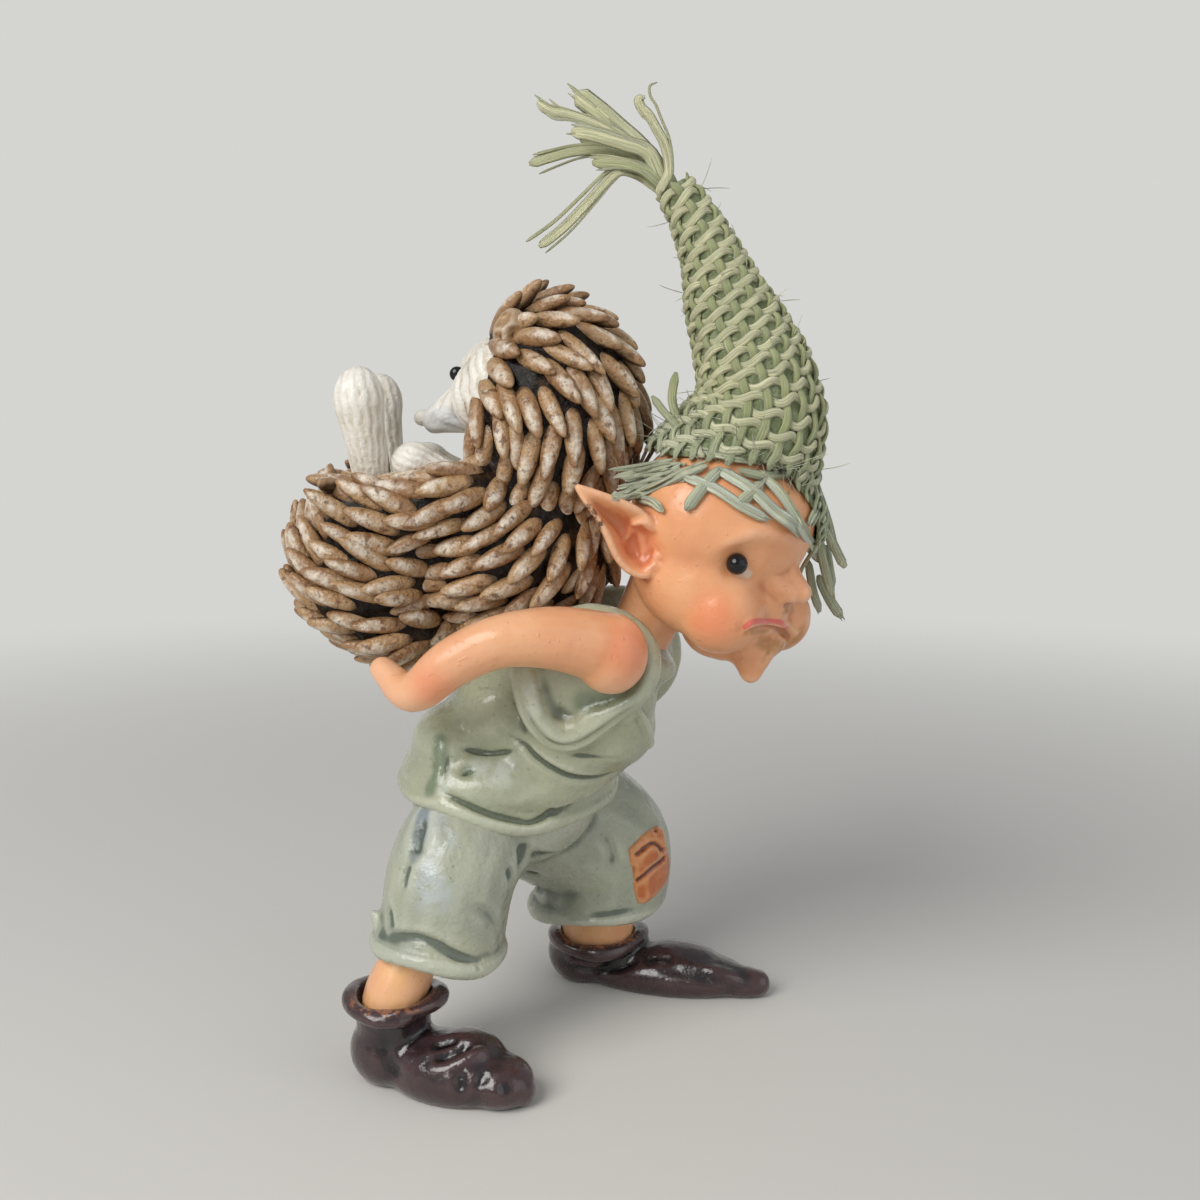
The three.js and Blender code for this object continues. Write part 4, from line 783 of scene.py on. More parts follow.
def arm(name, shoulder, side, node):
    x, y, z = shoulder
    run = [(0, 0, 0), (-6, 2.5, 1.6), (-12, 4, 1.4), (-17.2, 4, -1), (-21.6, 2.8, -4.4), (-25.4, -0.6, -2.4)]
    roll_out([(x + a, y + side * b, z + c) for a, b, c in run], [4.15, 3.55, 2.95, 2.75, 2.25, 1.5])
    lump((x + 0.2, y + side * 0.3, z - 0.5), (4.2, 4.0, 4.6))
    piece = cured(name, 0.36, 10)
    mark_hollows(piece)
    daub(piece, "flush", spots((x + 2, y + side * 3.4, z + 0.5)), 5.5)
    daub(piece, "flush", spots((x - 19, y + side * 5, z - 3)), 4.5)
    finish(piece, arm_paint, "skin", node)
    return piece


right_arm_piece = arm("right_arm_cast", (6, -14, 50.8), -1, "right_arm")
left_arm_piece = arm("left_arm_cast", (9, 12.5, 48.8), 1, "left_arm")


# The head: one casting with a low brow, a turned-up nose, sunken eyes, heavy jowls and a pointed nub of a chin.
# Flesh paint, satin: a red line on the upper lip, an orange blush on each cheek, and a brown tint with painted shade
# under the nose, under the lower lip and beside the chin.
# Long pointed ears stand out behind the jaw, bowl-shaped, with a rolled outer rim.
HEAD_TURN, HEAD_BOW = -28, 26
head_bench = in_place @ Matrix.Translation((17.5, -3.9, 64))
head_bench = head_bench @ Matrix.Rotation(math.radians(HEAD_TURN), 4, "Z")
head_bench = head_bench @ Matrix.Rotation(math.radians(HEAD_BOW), 4, "Y")
bench = head_bench
lump((1.5, 0, 1.5), (10.6, 12, 9.8))
lump((5.2, 0, 4.4), (6.6, 9.4, 5.6))
lump((7, 0, -5.5), (6.8, 7.4, 6))
for side in (-1, 1):
    roll_out(
        [(6.4, 10 * side, 1.6), (8.0, 8.6 * side, 3.7), (10.0, 5.2 * side, 4.0), (10.9, 1.6 * side, 2.8)],
        [0.9, 1.1, 1.2, 1.1])
    lump((3.6, 5.6 * side, -4.8), (7.8, 5.6, 6.4))
lump((8.2, -6, -6.4), (4.9, 4.9, 4.9))
lump((10.4, 6.2, -7.2), (4.9, 4.6, 4.6))
lump((9.9, -2.8, -7.2), (3.5, 4.6, 3.4))
lump((12, 1.6, -8.8), (2.7, 3.8, 2.6))
roll_out([(6.5, 0, -9.5), (10.8, -0.2, -9.8), (12.2, -0.3, -11.2), (13, -0.4, -12.7)], [4.6, 3.5, 2.7, 1.5])
bench = in_place
roll_out([(8.5, -1, 48), (11.5, -1.6, 54), (14.4, -2.2, 60.2)], [3.9, 4.1, 4.6])

ear_edge = sighted(
    (570, 481, -15.6), (585, 485, -15.5), (602, 491, -15.2), (620, 497, -14.8), (636, 504, -14.2), (648, 512, -13.6),
    (657, 524, -13), (660, 540, -12.6), (657, 555, -12.4), (656, 568, -12.3), (653, 579, -12.4), (642, 581, -12.9),
    (629, 576, -13.5), (618, 566, -14), (610, 551, -14.6), (603, 533, -15), (594, 516, -15.4), (581, 500, -15.6))


def modelled(name, places, faces):
    """A mesh of given places and faces, turned outward and picked out alone."""
    mesh = bpy.data.meshes.new(name)
    mesh.from_pydata(places, [], faces)
    made = bpy.data.objects.new(name, mesh)
    scene.collection.objects.link(made)
    only(made)
    edited(bpy.ops.mesh.select_all, action="SELECT")
    edited(bpy.ops.mesh.normals_make_consistent, inside=False)
    return made


def ear_bowl(edge):
    """A leaf of clay pressed into a bowl: rings from the rim to the floor of the bowl, then round its back."""
    rim = np.array(edge)
    heart = np.array(sighted((637, 545, -12.2))[0])
    facing = sum(np.cross(rim[n - 1] - heart, rim[n] - heart) for n in range(len(rim)))
    facing /= np.linalg.norm(facing)
    if facing[1] > 0:
        facing = -facing
    rings = [(0.0, -0.5), (0.0, 0.15), (0.12, 0.55), (0.27, 0.3), (0.4, -0.6), (0.62, -1.2), (0.85, -1.3)]
    rings += [(0.85, -3.2), (0.5, -2.8), (0.2, -1.7), (0.04, -0.9)]
    places = []
    for inset, lift in rings:
        places.extend(rim + inset * (heart - rim) + lift * facing)
    count = len(rim)
    floor, back = 6 * count, 7 * count
    faces = [tuple(range(floor, floor + count)), tuple(reversed(range(back, back + count)))]
    for ring in (0, 1, 2, 3, 4, 5, 7, 8, 9, 10):
        for n in range(count):
            a, b = ring * count + n, ring * count + (n + 1) % count
            next_ring = ((ring + 1) % len(rings)) * count
            faces.append((a, b, next_ring + (n + 1) % count, next_ring + n))
    ear = modelled("ear", [tuple(p) for p in places], faces)
    ear.data.transform(in_place)
    apply_modifier(ear, "SUBSURF", levels=1, render_levels=1)
    return ear


near_ear = ear_bowl(ear_edge)
far_ear = near_ear.copy()
far_ear.data = near_ear.data.copy()
scene.collection.objects.link(far_ear)
far_ear.data.transform(head_bench @ Matrix.Diagonal((1, -1, 1, 1)) @ head_bench.inverted())
far_ear.data.flip_normals()
head = cured("head_cast", 0.4, 13)


def on_face(*points):
    """Points of the head's own frame, in millimetres, taken to the nearest place on its skin."""
    return [np.array(head.closest_point_on_mesh(head_bench @ Vector(p))[1]) for p in points]


def clay_on(piece, sink, *places):
    """Places in the picture, taken onto a piece and a little way into it, in millimetres of the figure."""
    return [tuple(1000 * (hit[1] - sink / 1000 * hit[2] - figure_offset)) for hit in look(piece, places) if hit[0]]


def mirrored(points):
    """The same points on the other side of the head, in millimetres of the figure."""
    swap = in_place.inverted() @ head_bench @ Matrix.Diagonal((1, -1, 1, 1)) @ head_bench.inverted() @ in_place
    return [tuple(swap @ Vector(p)) for p in points]


eye_spots = [np.array(seen_on(head, (737, 564))[0])]
mirrored_eye = head_bench.inverted() @ Vector(eye_spots[0])
eye_spots.append(np.array(head_bench @ Vector((mirrored_eye.x, -mirrored_eye.y, mirrored_eye.z))))
for eye in eye_spots:
    carve(head, [eye], 3.4, 0.75)

lip = clay_on(head, 0.15, (744, 629), (752, 624), (766, 623), (779, 624))
far_lip = on_face((14, 0.6, -6), (13.8, 2.6, -6.4), (12.6, 5.2, -7.2))
lip += [tuple(1000 * (Vector(p) - figure_offset)) for p in far_lip]
ear_folds = [
    (clay_on(near_ear, 0.1, (627, 541), (631, 529), (640, 523), (651, 527)), [0.4, 0.65, 0.7, 0.6]),
    (clay_on(near_ear, 0.1, (640, 533), (642, 545), (644, 558)), [0.35, 0.55, 0.4]),
    (clay_on(near_ear, 0.1, (652, 549), (653, 560), (649, 570)), [0.5, 0.7, 0.6]),
]
batch.extend([head, near_ear, far_ear])
for points, radii in ear_folds:
    roll_out(points, radii[:len(points)])
    roll_out(mirrored(points), radii[:len(points)])
roll_out(lip, [0.4, 0.6, 0.65, 0.65, 0.6, 0.5, 0.35])
bench = head_bench
roll_out([(9.2, -0.5, 1.6), (11.6, -0.2, -0.6), (13.9, 0.2, -1.5)], [2.2, 1.85, 1.3])
for side in (-1, 1):
    roll_out([(9.2, 3.6 * side, -1), (11.2, 2.1 * side, -1.7), (13, 0.8 * side, -1.9)], [1.9, 1.8, 1.4])
    lump((12.1, 1.9 * side, -2.7), (1.3, 1.0, 0.75))
lump((10.9, 0, -0.9), (2.4, 3.3, 1.7))
bench = in_place
head = cured("head_cast", 0.27, 4)
bpy.context.view_layer.update()
for points, broad, deep in [
    ([(14.2, 0.6, -7), (13.9, 2.5, -7.5), (12.8, 4.8, -8)], 0.7, 0.5),
    ([(14, 0, -3.4), (14, 0, -4.6)], 0.8, 0.3),
]:
    carve(head, on_face(*points), broad, deep)
for side in (-1, 1):
    carve(head, on_face((13.7, 0.9 * side, -3.3)), 0.85, 0.65)
tool_marks(
    head,
    ([(630, 528), (636, 523), (645, 522), (653, 528)], 1.0, -0.5),
    ([(632, 534), (638, 529), (646, 529)], 0.9, 0.4),
    ([(646, 548), (650, 556), (652, 566)], 1.5, 0.9),
    ([(655, 552), (658, 562)], 0.9, -0.4),
    ([(606, 505), (622, 522), (630, 545), (640, 562)], 1.6, 0.35),
    ([(745, 634), (753, 630), (766, 628), (779, 630), (787, 637)], 0.6, 0.5),
    ([(752, 638), (764, 641), (778, 641)], 1.1, 0.25),
    ([(742, 626), (740, 634)], 0.8, 0.2))
soften(head, 1)
mark_hollows(head, 20)
brush(head, ("blush", 5.4, (711, 618)))
blush = head_bench.inverted() @ Vector(seen_on(head, (711, 618))[0])
daub(head, "blush", on_face((blush.x, -blush.y, blush.z)), 5.4)
# The brown mark round the lips is a brown tint together with painted shade under the lower lip and beside the chin.
brush(
    head,
    ("lip", 0.7, (745, 627), (753, 622), (766, 621), (779, 622), (787, 629)),
    ("mouth_tint_and_shade", 1.7, (758, 640), (772, 645), (786, 645), (796, 640), (802, 632)),
    ("mouth_tint_and_shade", 0.7, (746, 633), (756, 632), (770, 632), (784, 634)),
    ("mouth_tint_and_shade", 0.8, (764, 660), (769, 650)))
# Painted shade under the nose.
daub(head, "mouth_tint_and_shade", on_face((14, 0.9, -3.6), (14, -0.9, -3.6)), 1.3)
daub(head, "mouth_tint_and_shade", on_face((12.8, 2.6, -4.6), (13.6, 1.5, -4.6)), 1.5)
for eye in eye_spots:
    daub(head, "eye_white", [eye + np.array(head_bench.to_3x3() @ Vector((0.5, 0.9, -0.5)))], 1.9)
brush(
    head,
    ("eye_white", 1.1, (748, 574)),
    ("ear_red", 3.6, (630, 540), (640, 530), (648, 555)),
    ("soot", 1.0, (590, 508), (594, 516)),
    ("soot", 1.2, (598, 524), (601, 533)))
face_paint = flesh("face_flesh")
face_paint.coats(
    ((0.82, 0.22, 0.09), 0.62, ("blush", 0, 1)),
    ((0.80, 0.24, 0.12), 0.45, ("ear_red", 0, 1)),
    ((0.44, 0.19, 0.04), 0.8, ("mouth_tint_and_shade", 0.05, 0.9), (1.5, 0.25, 0.6)),
    ((0.72, 0.085, 0.075), 0.8, ("lip", 0.25, 0.8)),
    ((0.74, 0.64, 0.52), 0.75, ("eye_white", 0.35, 0.8)),
    ((0.06, 0.02, 0.01), 0.9, ("soot", 0.1, 0.7), (0.8, 0.4, 0.6)))
finish(head, face_paint, "skin", "head")


# The eyes: round beads, half sunk in the sockets and glued there.
# Black enamel, as glossy as glass, without a painted pupil.
bead_paint = Paint("black_enamel", (0.004, 0.004, 0.005), 0.06, coat=0.15, specular=0.35)
bead_paint.coats(((0.012, 0.010, 0.010), 1, (1.5, 0.4, 0.7)))
for eye, node in zip(eye_spots, ("right_eye", "left_eye")):
    middle = (Vector(eye) - figure_offset) * 1000
    lump(middle, (1.2, 1.2, 1.2))
    bead = cured(node + "_bead", 0.12, 2)
    finish(bead, bead_paint, "bead", node)


# The hedgehog's coat: one casting, a curled shell set all over with horn-shaped spines that lie back
# from the crown to the rump, open above the belly, and pinned to the tunic's back. Painted tan brown,
# stippled dark, with pale tips, a painted cream highlight along the upper side of each spine, painted shade
# under each spine and at its root, and a black wash in the gaps.
lump((-21.5, 0, 59.3), (10.2, 12.2, 10.2))
lump((-6, 0, 61.5), (12.4, 12.2, 11.2))
lump((-1.2, 0, 76.5), (10.8, 11.7, 13.9))
lump((-18.5, 0, 52), (7, 10, 4.4))
for side in (-1, 1):
    roll_out([(-23, 8.7 * side, 65.3), (-16.5, 8.9 * side, 65.6), (-10, 8.7 * side, 67.5)], [3.9, 3.9, 3.9])
coat_shell = cured("coat_shell", 0.6, 12)
roll_out([(-22, 0, 71.8), (-15.5, 0, 72.2), (-9, 0, 73)], [6.2, 6.3, 6.6])
roll_out([(-21.5, 0, 64.8), (-13.75, 0, 60.9), (-6, 0, 68)], [5.4, 6.4, 6.6])
roll_out([(-15, 0, 77.5), (-6.4, 0, 80)], [5.5, 7.4])
lap_tool = cured("lap_tool", 0.5, 6)
apply_modifier(coat_shell, "BOOLEAN", operation="DIFFERENCE", object=lap_tool, solver="EXACT")
apply_modifier(coat_shell, "REMESH", mode="VOXEL", voxel_size=0.0005)
soften(coat_shell, 6)
bpy.ops.object.shade_smooth()
bpy.context.view_layer.update()
mark_hollows(coat_shell)
shell_paint = Paint("coat_gaps", (0.006, 0.004, 0.003), 0.34, coat=0.1, specular=0.15)
shell_paint.coats(
    ((0.10, 0.05, 0.02), 0.5, (2.6, 0.55, 0.68)),
    ((0.02, 0.012, 0.008), 1, (1.0, 0.5, 0.62)))
shell_paint.bumps((0.9, 0.3, 0.75, 4), 0.3, 0.8)
finish(coat_shell, shell_paint, "coat", "hedgehog_coat")

bpy.ops.object.select_all(action="DESELECT")
bpy.ops.mesh.primitive_circle_add(vertices=8, radius=0.5, fill_type="NGON", rotation=(0, math.pi / 2, 0))
one_spine = bpy.context.object
bpy.ops.object.transform_apply(location=False, rotation=True, scale=False)
bpy.ops.object.mode_set(mode="EDIT")
bpy.ops.mesh.select_all(action="SELECT")
reached, wide, high = 0.0, 0.5, 0.5
for along, half_wide, half_high in [
    (0.1, 0.84, 0.7), (0.3, 1.0, 0.9), (0.52, 1.0, 0.92), (0.74, 0.84, 0.8), (0.9, 0.56, 0.56), (0.98, 0.26, 0.28),
    (1.0, 0.08, 0.08),
]:
    bpy.ops.mesh.extrude_region_move(TRANSFORM_OT_translate={"value": (along - reached, 0, 0)})
    bpy.ops.transform.resize(value=(1, half_wide / wide, half_high / high), center_override=(along, 0, 0))
    reached, wide, high = along, half_wide, half_high
bpy.ops.object.mode_set(mode="OBJECT")
spine_form = corners(one_spine)
spine_faces = [tuple(face.vertices) for face in one_spine.data.polygons]
bpy.data.objects.remove(one_spine)

coat_line = bent([(-5.2, 0, 86), (1.5, 0, 82), (2.2, 0, 74.5), (-1, 0, 65), (-8, 0, 60.5), (-15.5, 0, 60),
                  (-22.5, 0, 61), (-26, 0, 65), (-28, 0, 70)], steps=16)
coat_flow = np.gradient(coat_line, axis=0)
coat_flow /= np.linalg.norm(coat_flow, axis=1)[:, None]
dice = np.random.default_rng(7)
keep_off = [head, right_arm_piece, left_arm_piece, tunic]


def clear_of(place, pieces, room):
    for piece in pieces:
        found, point, normal, _ = piece.closest_point_on_mesh(place)
        away = place - point
        if found and (away.length < room or away.dot(normal) < 0 and away.length < 0.006):
            return False
    return True


bpy.context.view_layer.update()
ground = corners(coat_shell)
ground_out = facings(coat_shell)
in_hollow = []
for place in ground:
    found, point, normal, _ = lap_tool.closest_point_on_mesh(Vector(place))
    in_hollow.append((Vector(place) - point).dot(normal) < 0.0006)
bpy.data.objects.remove(lap_tool)
line_places = np.array([spot(*p) for p in coat_line])
near_flow = np.linalg.norm((ground[:, None] - line_places[None]) * np.array((1, 0.25, 1)), axis=2) * 1000
pull = np.exp(-((near_flow - near_flow.min(1)[:, None]) / 2.5))
ground_flow = (pull[:, :, None] * coat_flow[None]).sum(1)
ground_flow -= ground_out * (ground_flow * ground_out).sum(1)[:, None]
ground_flow /= np.maximum(np.linalg.norm(ground_flow, axis=1), 1e-9)[:, None]
SPINE_STEP, SPINE_APART = 3.5, 1.95
SPINE_LONG, SPINE_BROAD, SPINE_LIFT = (6.2, 8.2), (1.08, 1.4), (8, 18)
SPINE_SWAY, SPINE_BEND, SPINE_CURL = (-0.24, 0.24), (-0.35, 0.35), (0.25, 0.6)
# Each try at a spine: its share of the length, the share of it behind its base, how deep its root goes into
# the shell, and the room that its tip and its base need, in metres.
SPINE_TRIES = [(1, 0.25, 0.0003, 0.0006, 0.0003), (0.72, 0.5, 0.0006, 0.0004, 0.0002)]
chosen = np.zeros((0, 3))
rooted = []
for pick in dice.permutation(len(ground)):
    if in_hollow[pick]:
        continue
    if len(rooted):
        gap = (chosen - ground[pick]) * 1000
        run = gap @ ground_flow[pick]
        aside = np.sqrt(np.maximum((gap * gap).sum(1) - run * run, 0))
        if ((run / SPINE_STEP) ** 2 + (aside / SPINE_APART) ** 2).min() < 1:
            continue
    rooted.append(pick)
    chosen = ground[rooted]
spine_places, spine_sheets, spine_tones = [], [], []
for pick in rooted:
    base, normal, lie = Vector(ground[pick]), Vector(ground_out[pick]), Vector(ground_flow[pick])
    across = normal.cross(lie)
    lie = (lie + across * dice.uniform(*SPINE_SWAY)).normalized()
    lift = math.radians(dice.uniform(*SPINE_LIFT))
    axis = lie * math.cos(lift) + normal * math.sin(lift)
    across = normal.cross(lie).normalized()
    out = axis.cross(across)
    out = out if out.dot(normal) > 0 else -out
    full = dice.uniform(*SPINE_LONG) / 1000
    broad = dice.uniform(*SPINE_BROAD) / 1000
    bend, curl = dice.uniform(*SPINE_BEND), dice.uniform(*SPINE_CURL)
    for share, behind, deep, tip_room, base_room in SPINE_TRIES:
        long = full * share
        root = base - axis * behind * long - normal * deep
        if clear_of(root + axis * long, keep_off, tip_room) and clear_of(base, keep_off, base_room):
            break
    else:
        continue
    form = spine_form.copy()
    form[:, 1] += bend * form[:, 0] ** 2
    form[:, 2] += 1.6 * curl * (form[:, 0] - form[:, 0] ** 2) - 0.2
    grid = np.array([axis * long, across * broad, out * broad])
    first = len(spine_places) * len(form)
    spine_places.append(np.array(root) + form @ grid)
    spine_sheets.extend(tuple(first + k for k in face) for face in spine_faces)
    spine_tones.append(dice.uniform())
coat_spines = modelled("coat_spines", np.vstack(spine_places).tolist(), spine_sheets)
bpy.ops.object.shade_smooth()
note(coat_spines, "along", np.tile(spine_form[:, 0], len(spine_places)))
note(coat_spines, "height", np.tile(spine_form[:, 2], len(spine_places)))
note(coat_spines, "tone", np.repeat(spine_tones, len(spine_form)))
apply_modifier(coat_spines, "SUBSURF", levels=1, render_levels=1)
spine_paint = Paint("spine_horn", (0.31, 0.165, 0.072), 0.4, coat=0.2)
# Cream toward the tips and along the upper side: pale tips, with a painted highlight on the upper side. Dark under
# each spine and near its root: painted shade.
ridge = spine_paint.math("ADD", spine_paint.marked("along", 0.15, 1.0), spine_paint.marked("height", 0.1, 0.9))
pale_tips_and_highlight = spine_paint.math("ADD", ridge, spine_paint.math("MULTIPLY", spine_paint.cloud(0.8, 0.2, 0.8), 0.6))
spine_paint.coats(
    ((0.44, 0.265, 0.125), 0.8, ("tone", 0.2, 0.9)),
    ((0.50, 0.345, 0.19), 0.6, (2.4, 0.45, 0.7)),
    ((0.80, 0.73, 0.61), 0.85, spine_paint.ranged(pale_tips_and_highlight, 1.4, 2.2)),
    ((0.16, 0.07, 0.027), 0.8, (0.95, 0.56, 0.68)),
    ((0.13, 0.055, 0.02), 0.65, (0.4, 0.6, 0.7, 2)),
    ((0.03, 0.014, 0.007), 0.85, ("height", 0.0, -0.5)),
    ((0.03, 0.014, 0.007), 0.7, ("along", 0.22, 0.06)))
spine_paint.rough((0.8, 0.3, 0.75), 0.24, 0.52)
spine_paint.bumps((0.6, 0.3, 0.75, 3), 0.14, 0.8)
finish(coat_spines, spine_paint, "coat")

for side in (-1, 1):
    lump((-5.2, 7.5 * side, 86.2), (1.9, 1.5, 2.7), (14 * side, 17, 0))
hog_ears = cured("hedgehog_ears", 0.3, 3)
for side in (-1, 1):
    carve(hog_ears, spots((-6.6, 9 * side, 88.2)), 2.2, 1.2)
    carve(hog_ears, spots((-4.4, 9.2 * side, 85.6)), 1.5, 0.8)
    carve(hog_ears, spots((-6.6, 9 * side, 85.4)), 0.9, 0.6)
mark_hollows(hog_ears, 12)
ear_paint = Paint("ear_horn", (0.30, 0.165, 0.068), 0.36, coat=0.3)
ear_paint.coats(
    ((0.44, 0.28, 0.135), 0.8, (1.8, 0.4, 0.68)),
    ((0.20, 0.085, 0.03), 0.75, (0.7, 0.56, 0.68)),
    # Painted highlight on the raised rims and painted shade in the cups.
    ((0.70, 0.60, 0.47), 0.5, ("hollow", -0.05, -0.22)),
    ((0.06, 0.018, 0.006), 0.9, ("hollow", 0.03, 0.2)))
ear_paint.bumps((0.6, 0.3, 0.75, 3), 0.12, 0.7)
finish(hog_ears, ear_paint, "coat")


# The hedgehog's underside: belly, face, nose, hind feet and forepaws, castings glued into the hollow of the coat.
# Ivory paint over combed fur grooves, browner where the fur meets the spines, with painted shade in the grooves,
# painted highlights on the raised fur and a cool painted shade over the snout's tip. The eyes are black beads.
fur_paint = Paint("ivory_fur", (0.66, 0.60, 0.49), 0.42, coat=0.15)
fur_paint.coats(
    ((0.78, 0.74, 0.66), 1, (3, 0.35, 0.65)),
    # Painted highlight on the raised fur and painted shade in the grooves.
    ((0.84, 0.81, 0.74), 0.7, ("hollow", -0.01, -0.1)),
    ((0.30, 0.17, 0.075), 0.8, ("hollow", 0.02, 0.13)),
    ((0.42, 0.27, 0.13), 0.7, ("fur_edge_brown", 0.05, 0.9), (0.7, 0.42, 0.6)),
    ((0.62, 0.66, 0.72), 0.7, ("cool_shade", 0.1, 0.9)))
fur_paint.rough((1.2, 0.3, 0.75), 0.3, 0.55)
fur_paint.bumps((0.5, 0.3, 0.75, 3), 0.1, 0.6)


def comb(piece, heart, pole, count, depth, rounds):
    """Draws grooves that run along the pole of a pad, evenly spaced about it, and notes its hollows."""
    places = corners(piece)
    pole = Vector(pole).normalized()
    side = pole.orthogonal().normalized()
    other = pole.cross(side)
    away = places - np.array(spot(*heart))
    turn = np.arctan2(away @ np.array(other), away @ np.array(side))
    wander = 0.35 * np.sin(2200 * away @ np.array(pole) + 3 * turn)
    groove = np.abs(np.sin(0.5 * count * turn + wander)) ** 0.6
    move_corners(piece, places - facings(piece) * (depth / 1000 * (1 - groove))[:, None])
    soften(piece, 1)
    mark_hollows(piece, rounds)


roll_out([(-21.5, 0, 64.8), (-13.75, 0, 60.9), (-6, 0, 68)], [5.5, 6.5, 6.8])
belly = cured("belly_cast", 0.45, 10)
mark_hollows(belly)
# Browner where the fur meets the spines.
daub(belly, "fur_edge_brown", spots((-14, -6, 66), (-14, 6, 66)), 4)
finish(belly, fur_paint, "fur", "hedgehog_belly")

lump((-6.4, 0, 80), (6, 7, 6.6))
roll_out([(-8.4, 0, 78.8), (-14.8, 0, 76.4)], [4.4, 1.8])
for side in (-1, 1):
    lump((-9.4, 4.2 * side, 79), (3, 3, 4))
    lump((-7.4, 6.2 * side, 79.5), (3.2, 2.4, 5.4))
snout = cured("hedgehog_face_cast", 0.34, 6)
comb(snout, (-6, 0, 79), (-0.3, 0, 0.95), count=34, depth=0.35, rounds=14)
for side in (-1, 1):
    daub(snout, "fur_edge_brown", spots((-5.5, 7.5 * side, 84), (-6.5, 8.4 * side, 79), (-7.5, 8 * side, 74)), 3.4)
# Painted shade: a cool blue-grey over the snout's tip.
daub(snout, "cool_shade", spots((-15, 0, 76.4), (-11, -2, 77)), 3.2)
finish(snout, fur_paint, "fur", "hedgehog_face")
lump((-16.3, 0, 76.6), (1.1, 1.1, 1.0))
hog_nose = cured("hedgehog_nose_cast", 0.15, 2)
mark_hollows(hog_nose)
finish(hog_nose, fur_paint, "fur", "hedgehog_nose")
for side, hog in ((-1, "hedgehog_right"), (1, "hedgehog_left")):
    roll_out([(-21.5, 5.4 * side, 69.4), (-22.2, 5.9 * side, 74), (-22.7, 6.2 * side, 78)], [2.25, 2.5, 2.9])
    lump((-22.7, 6.4 * side, 78.5), (3, 2.5, 3.9))
    foot = cured(hog + "_foot_cast", 0.3, 5)
    comb(foot, (-22.3, 6.1 * side, 77), (-0.12, 0.05, 1), count=14, depth=0.24, rounds=12)
    finish(foot, fur_paint, "fur", hog + "_foot")
    roll_out([(-11.6, 5.2 * side, 68.7), (-16.6, 5.2 * side, 71.2)], [2.3, 2.4])
    lump((-16.6, 5.2 * side, 71.2), (2.9, 2.6, 2.6))
    paw = cured(hog + "_paw_cast", 0.28, 5)
    comb(paw, (-15.2, 5.2 * side, 70.6), (-0.9, 0, 0.4), count=14, depth=0.24, rounds=12)
    finish(paw, fur_paint, "fur", hog + "_paw")
    low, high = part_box(hog + "_eye")
    lump((((low + high) / 2) - figure_offset) * 1000, (0.9, 0.75, 0.9))
    hog_eye = cured(hog + "_eye_bead", 0.12, 2)
    finish(hog_eye, bead_paint, "bead", hog + "_eye")


# The wire pins: short lengths of steel wire, cut off and glued into bores on both sides of a joint.
# They hold the legs, the neck and the hedgehog, and are never seen on the whole figure.
steel = Paint("pin_steel", (0.42, 0.43, 0.44), 0.35)
steel.coats(((0.30, 0.30, 0.31), 1, (1.5, 0.4, 0.65)))
steel.shader.inputs["Metallic"].default_value = 1.0
for node in ("right_leg_pin", "left_leg_pin", "neck_pin", "hedgehog_pin"):
    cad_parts[node].data.materials.clear()
    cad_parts[node].data.materials.append(steel.material)


# The hat: a cone of open-weave jute sewn up at the back, glued over the skull and bent at the tip.
# Flat green warp yarns run up it, and cream weft yarns cross them over and under. The cut edges fray:
# loose strands lie over the forehead, and the tip opens into a tassel.
hat_foot = np.array((20.26, -5.36, 69.26))
hat_axis = bent(hat_foot + np.array([
    (0, 0, 0), (3.1, 1.2, 6.5), (3, 1.9, 10.6), (1.5, 2.6, 15.5), (-0.5, 3.4, 21), (-2.4, 4.2, 26.7),
    (-4.8, 4.8, 31.4), (-7.2, 5.4, 34.5)]), steps=20)
hat_reach = np.r_[0, np.cumsum(np.linalg.norm(np.diff(hat_axis, axis=0), axis=1))]
HAT_LOW, HAT_LONG = -8, hat_reach[-1]
HAT_WIDTHS = ([0, 7, 11.5, 16.2, 22, 28, 33, 37], [10, 7.8, 6.6, 5.6, 4.35, 2.9, 2.2, 1.7])
WARP_PITCH, WEFT_PITCH = 2.1, 1.32
WARP_HALF, WEFT_HALF = (0.52, 0.26), (0.5, 0.27)
YARN_LIFT, YARN_WAVE, WEFT_SWAY = 0.42, 0.3, 0.34
WEFT_SHORTEST, WARP_SHORTEST = 8, 6
YARN_TAPER, YARN_TIP = 0.8, 0.35
FIBRE_RUN, FIBRE_ROUND, FIBRE_TONE = 0.16, 5, 40
CAST_FROM, CAST_REACH = 24, 0.0238
SKULL_TOP, SKULL_WIDEST, CLOTH_GAP = 12, 13.5, 0.55
head_up = np.array(head_bench.to_3x3().normalized() @ Vector((0, 0, 1)))
hat_heights = np.linspace(HAT_LOW, HAT_LONG, 92)
hat_turns = np.linspace(-math.pi, math.pi, 121)
bpy.context.view_layer.update()


def hat_ring(height):
    """Middle of the hat at a height above the brim, and the two directions across it."""
    along = np.clip(height, 0, HAT_LONG - 0.2)
    middle = np.array([np.interp(along, hat_reach, hat_axis[:, k]) for k in range(3)])
    ahead = np.array([np.interp(along + 0.2, hat_reach, hat_axis[:, k]) for k in range(3)])
    middle = middle + head_up * (height - along)
    lean = np.clip((along / HAT_LONG - 0.05) / 0.35, 0, 1)
    lean = lean * lean * (3 - 2 * lean)
    up = (1 - lean) * head_up + lean * (ahead - middle) / max(np.linalg.norm(ahead - middle), 1e-6)
    up /= np.linalg.norm(up)
    side = np.cross((0, 1, 0), up)
    side /= np.linalg.norm(side)
    return middle, side, np.cross(up, side)


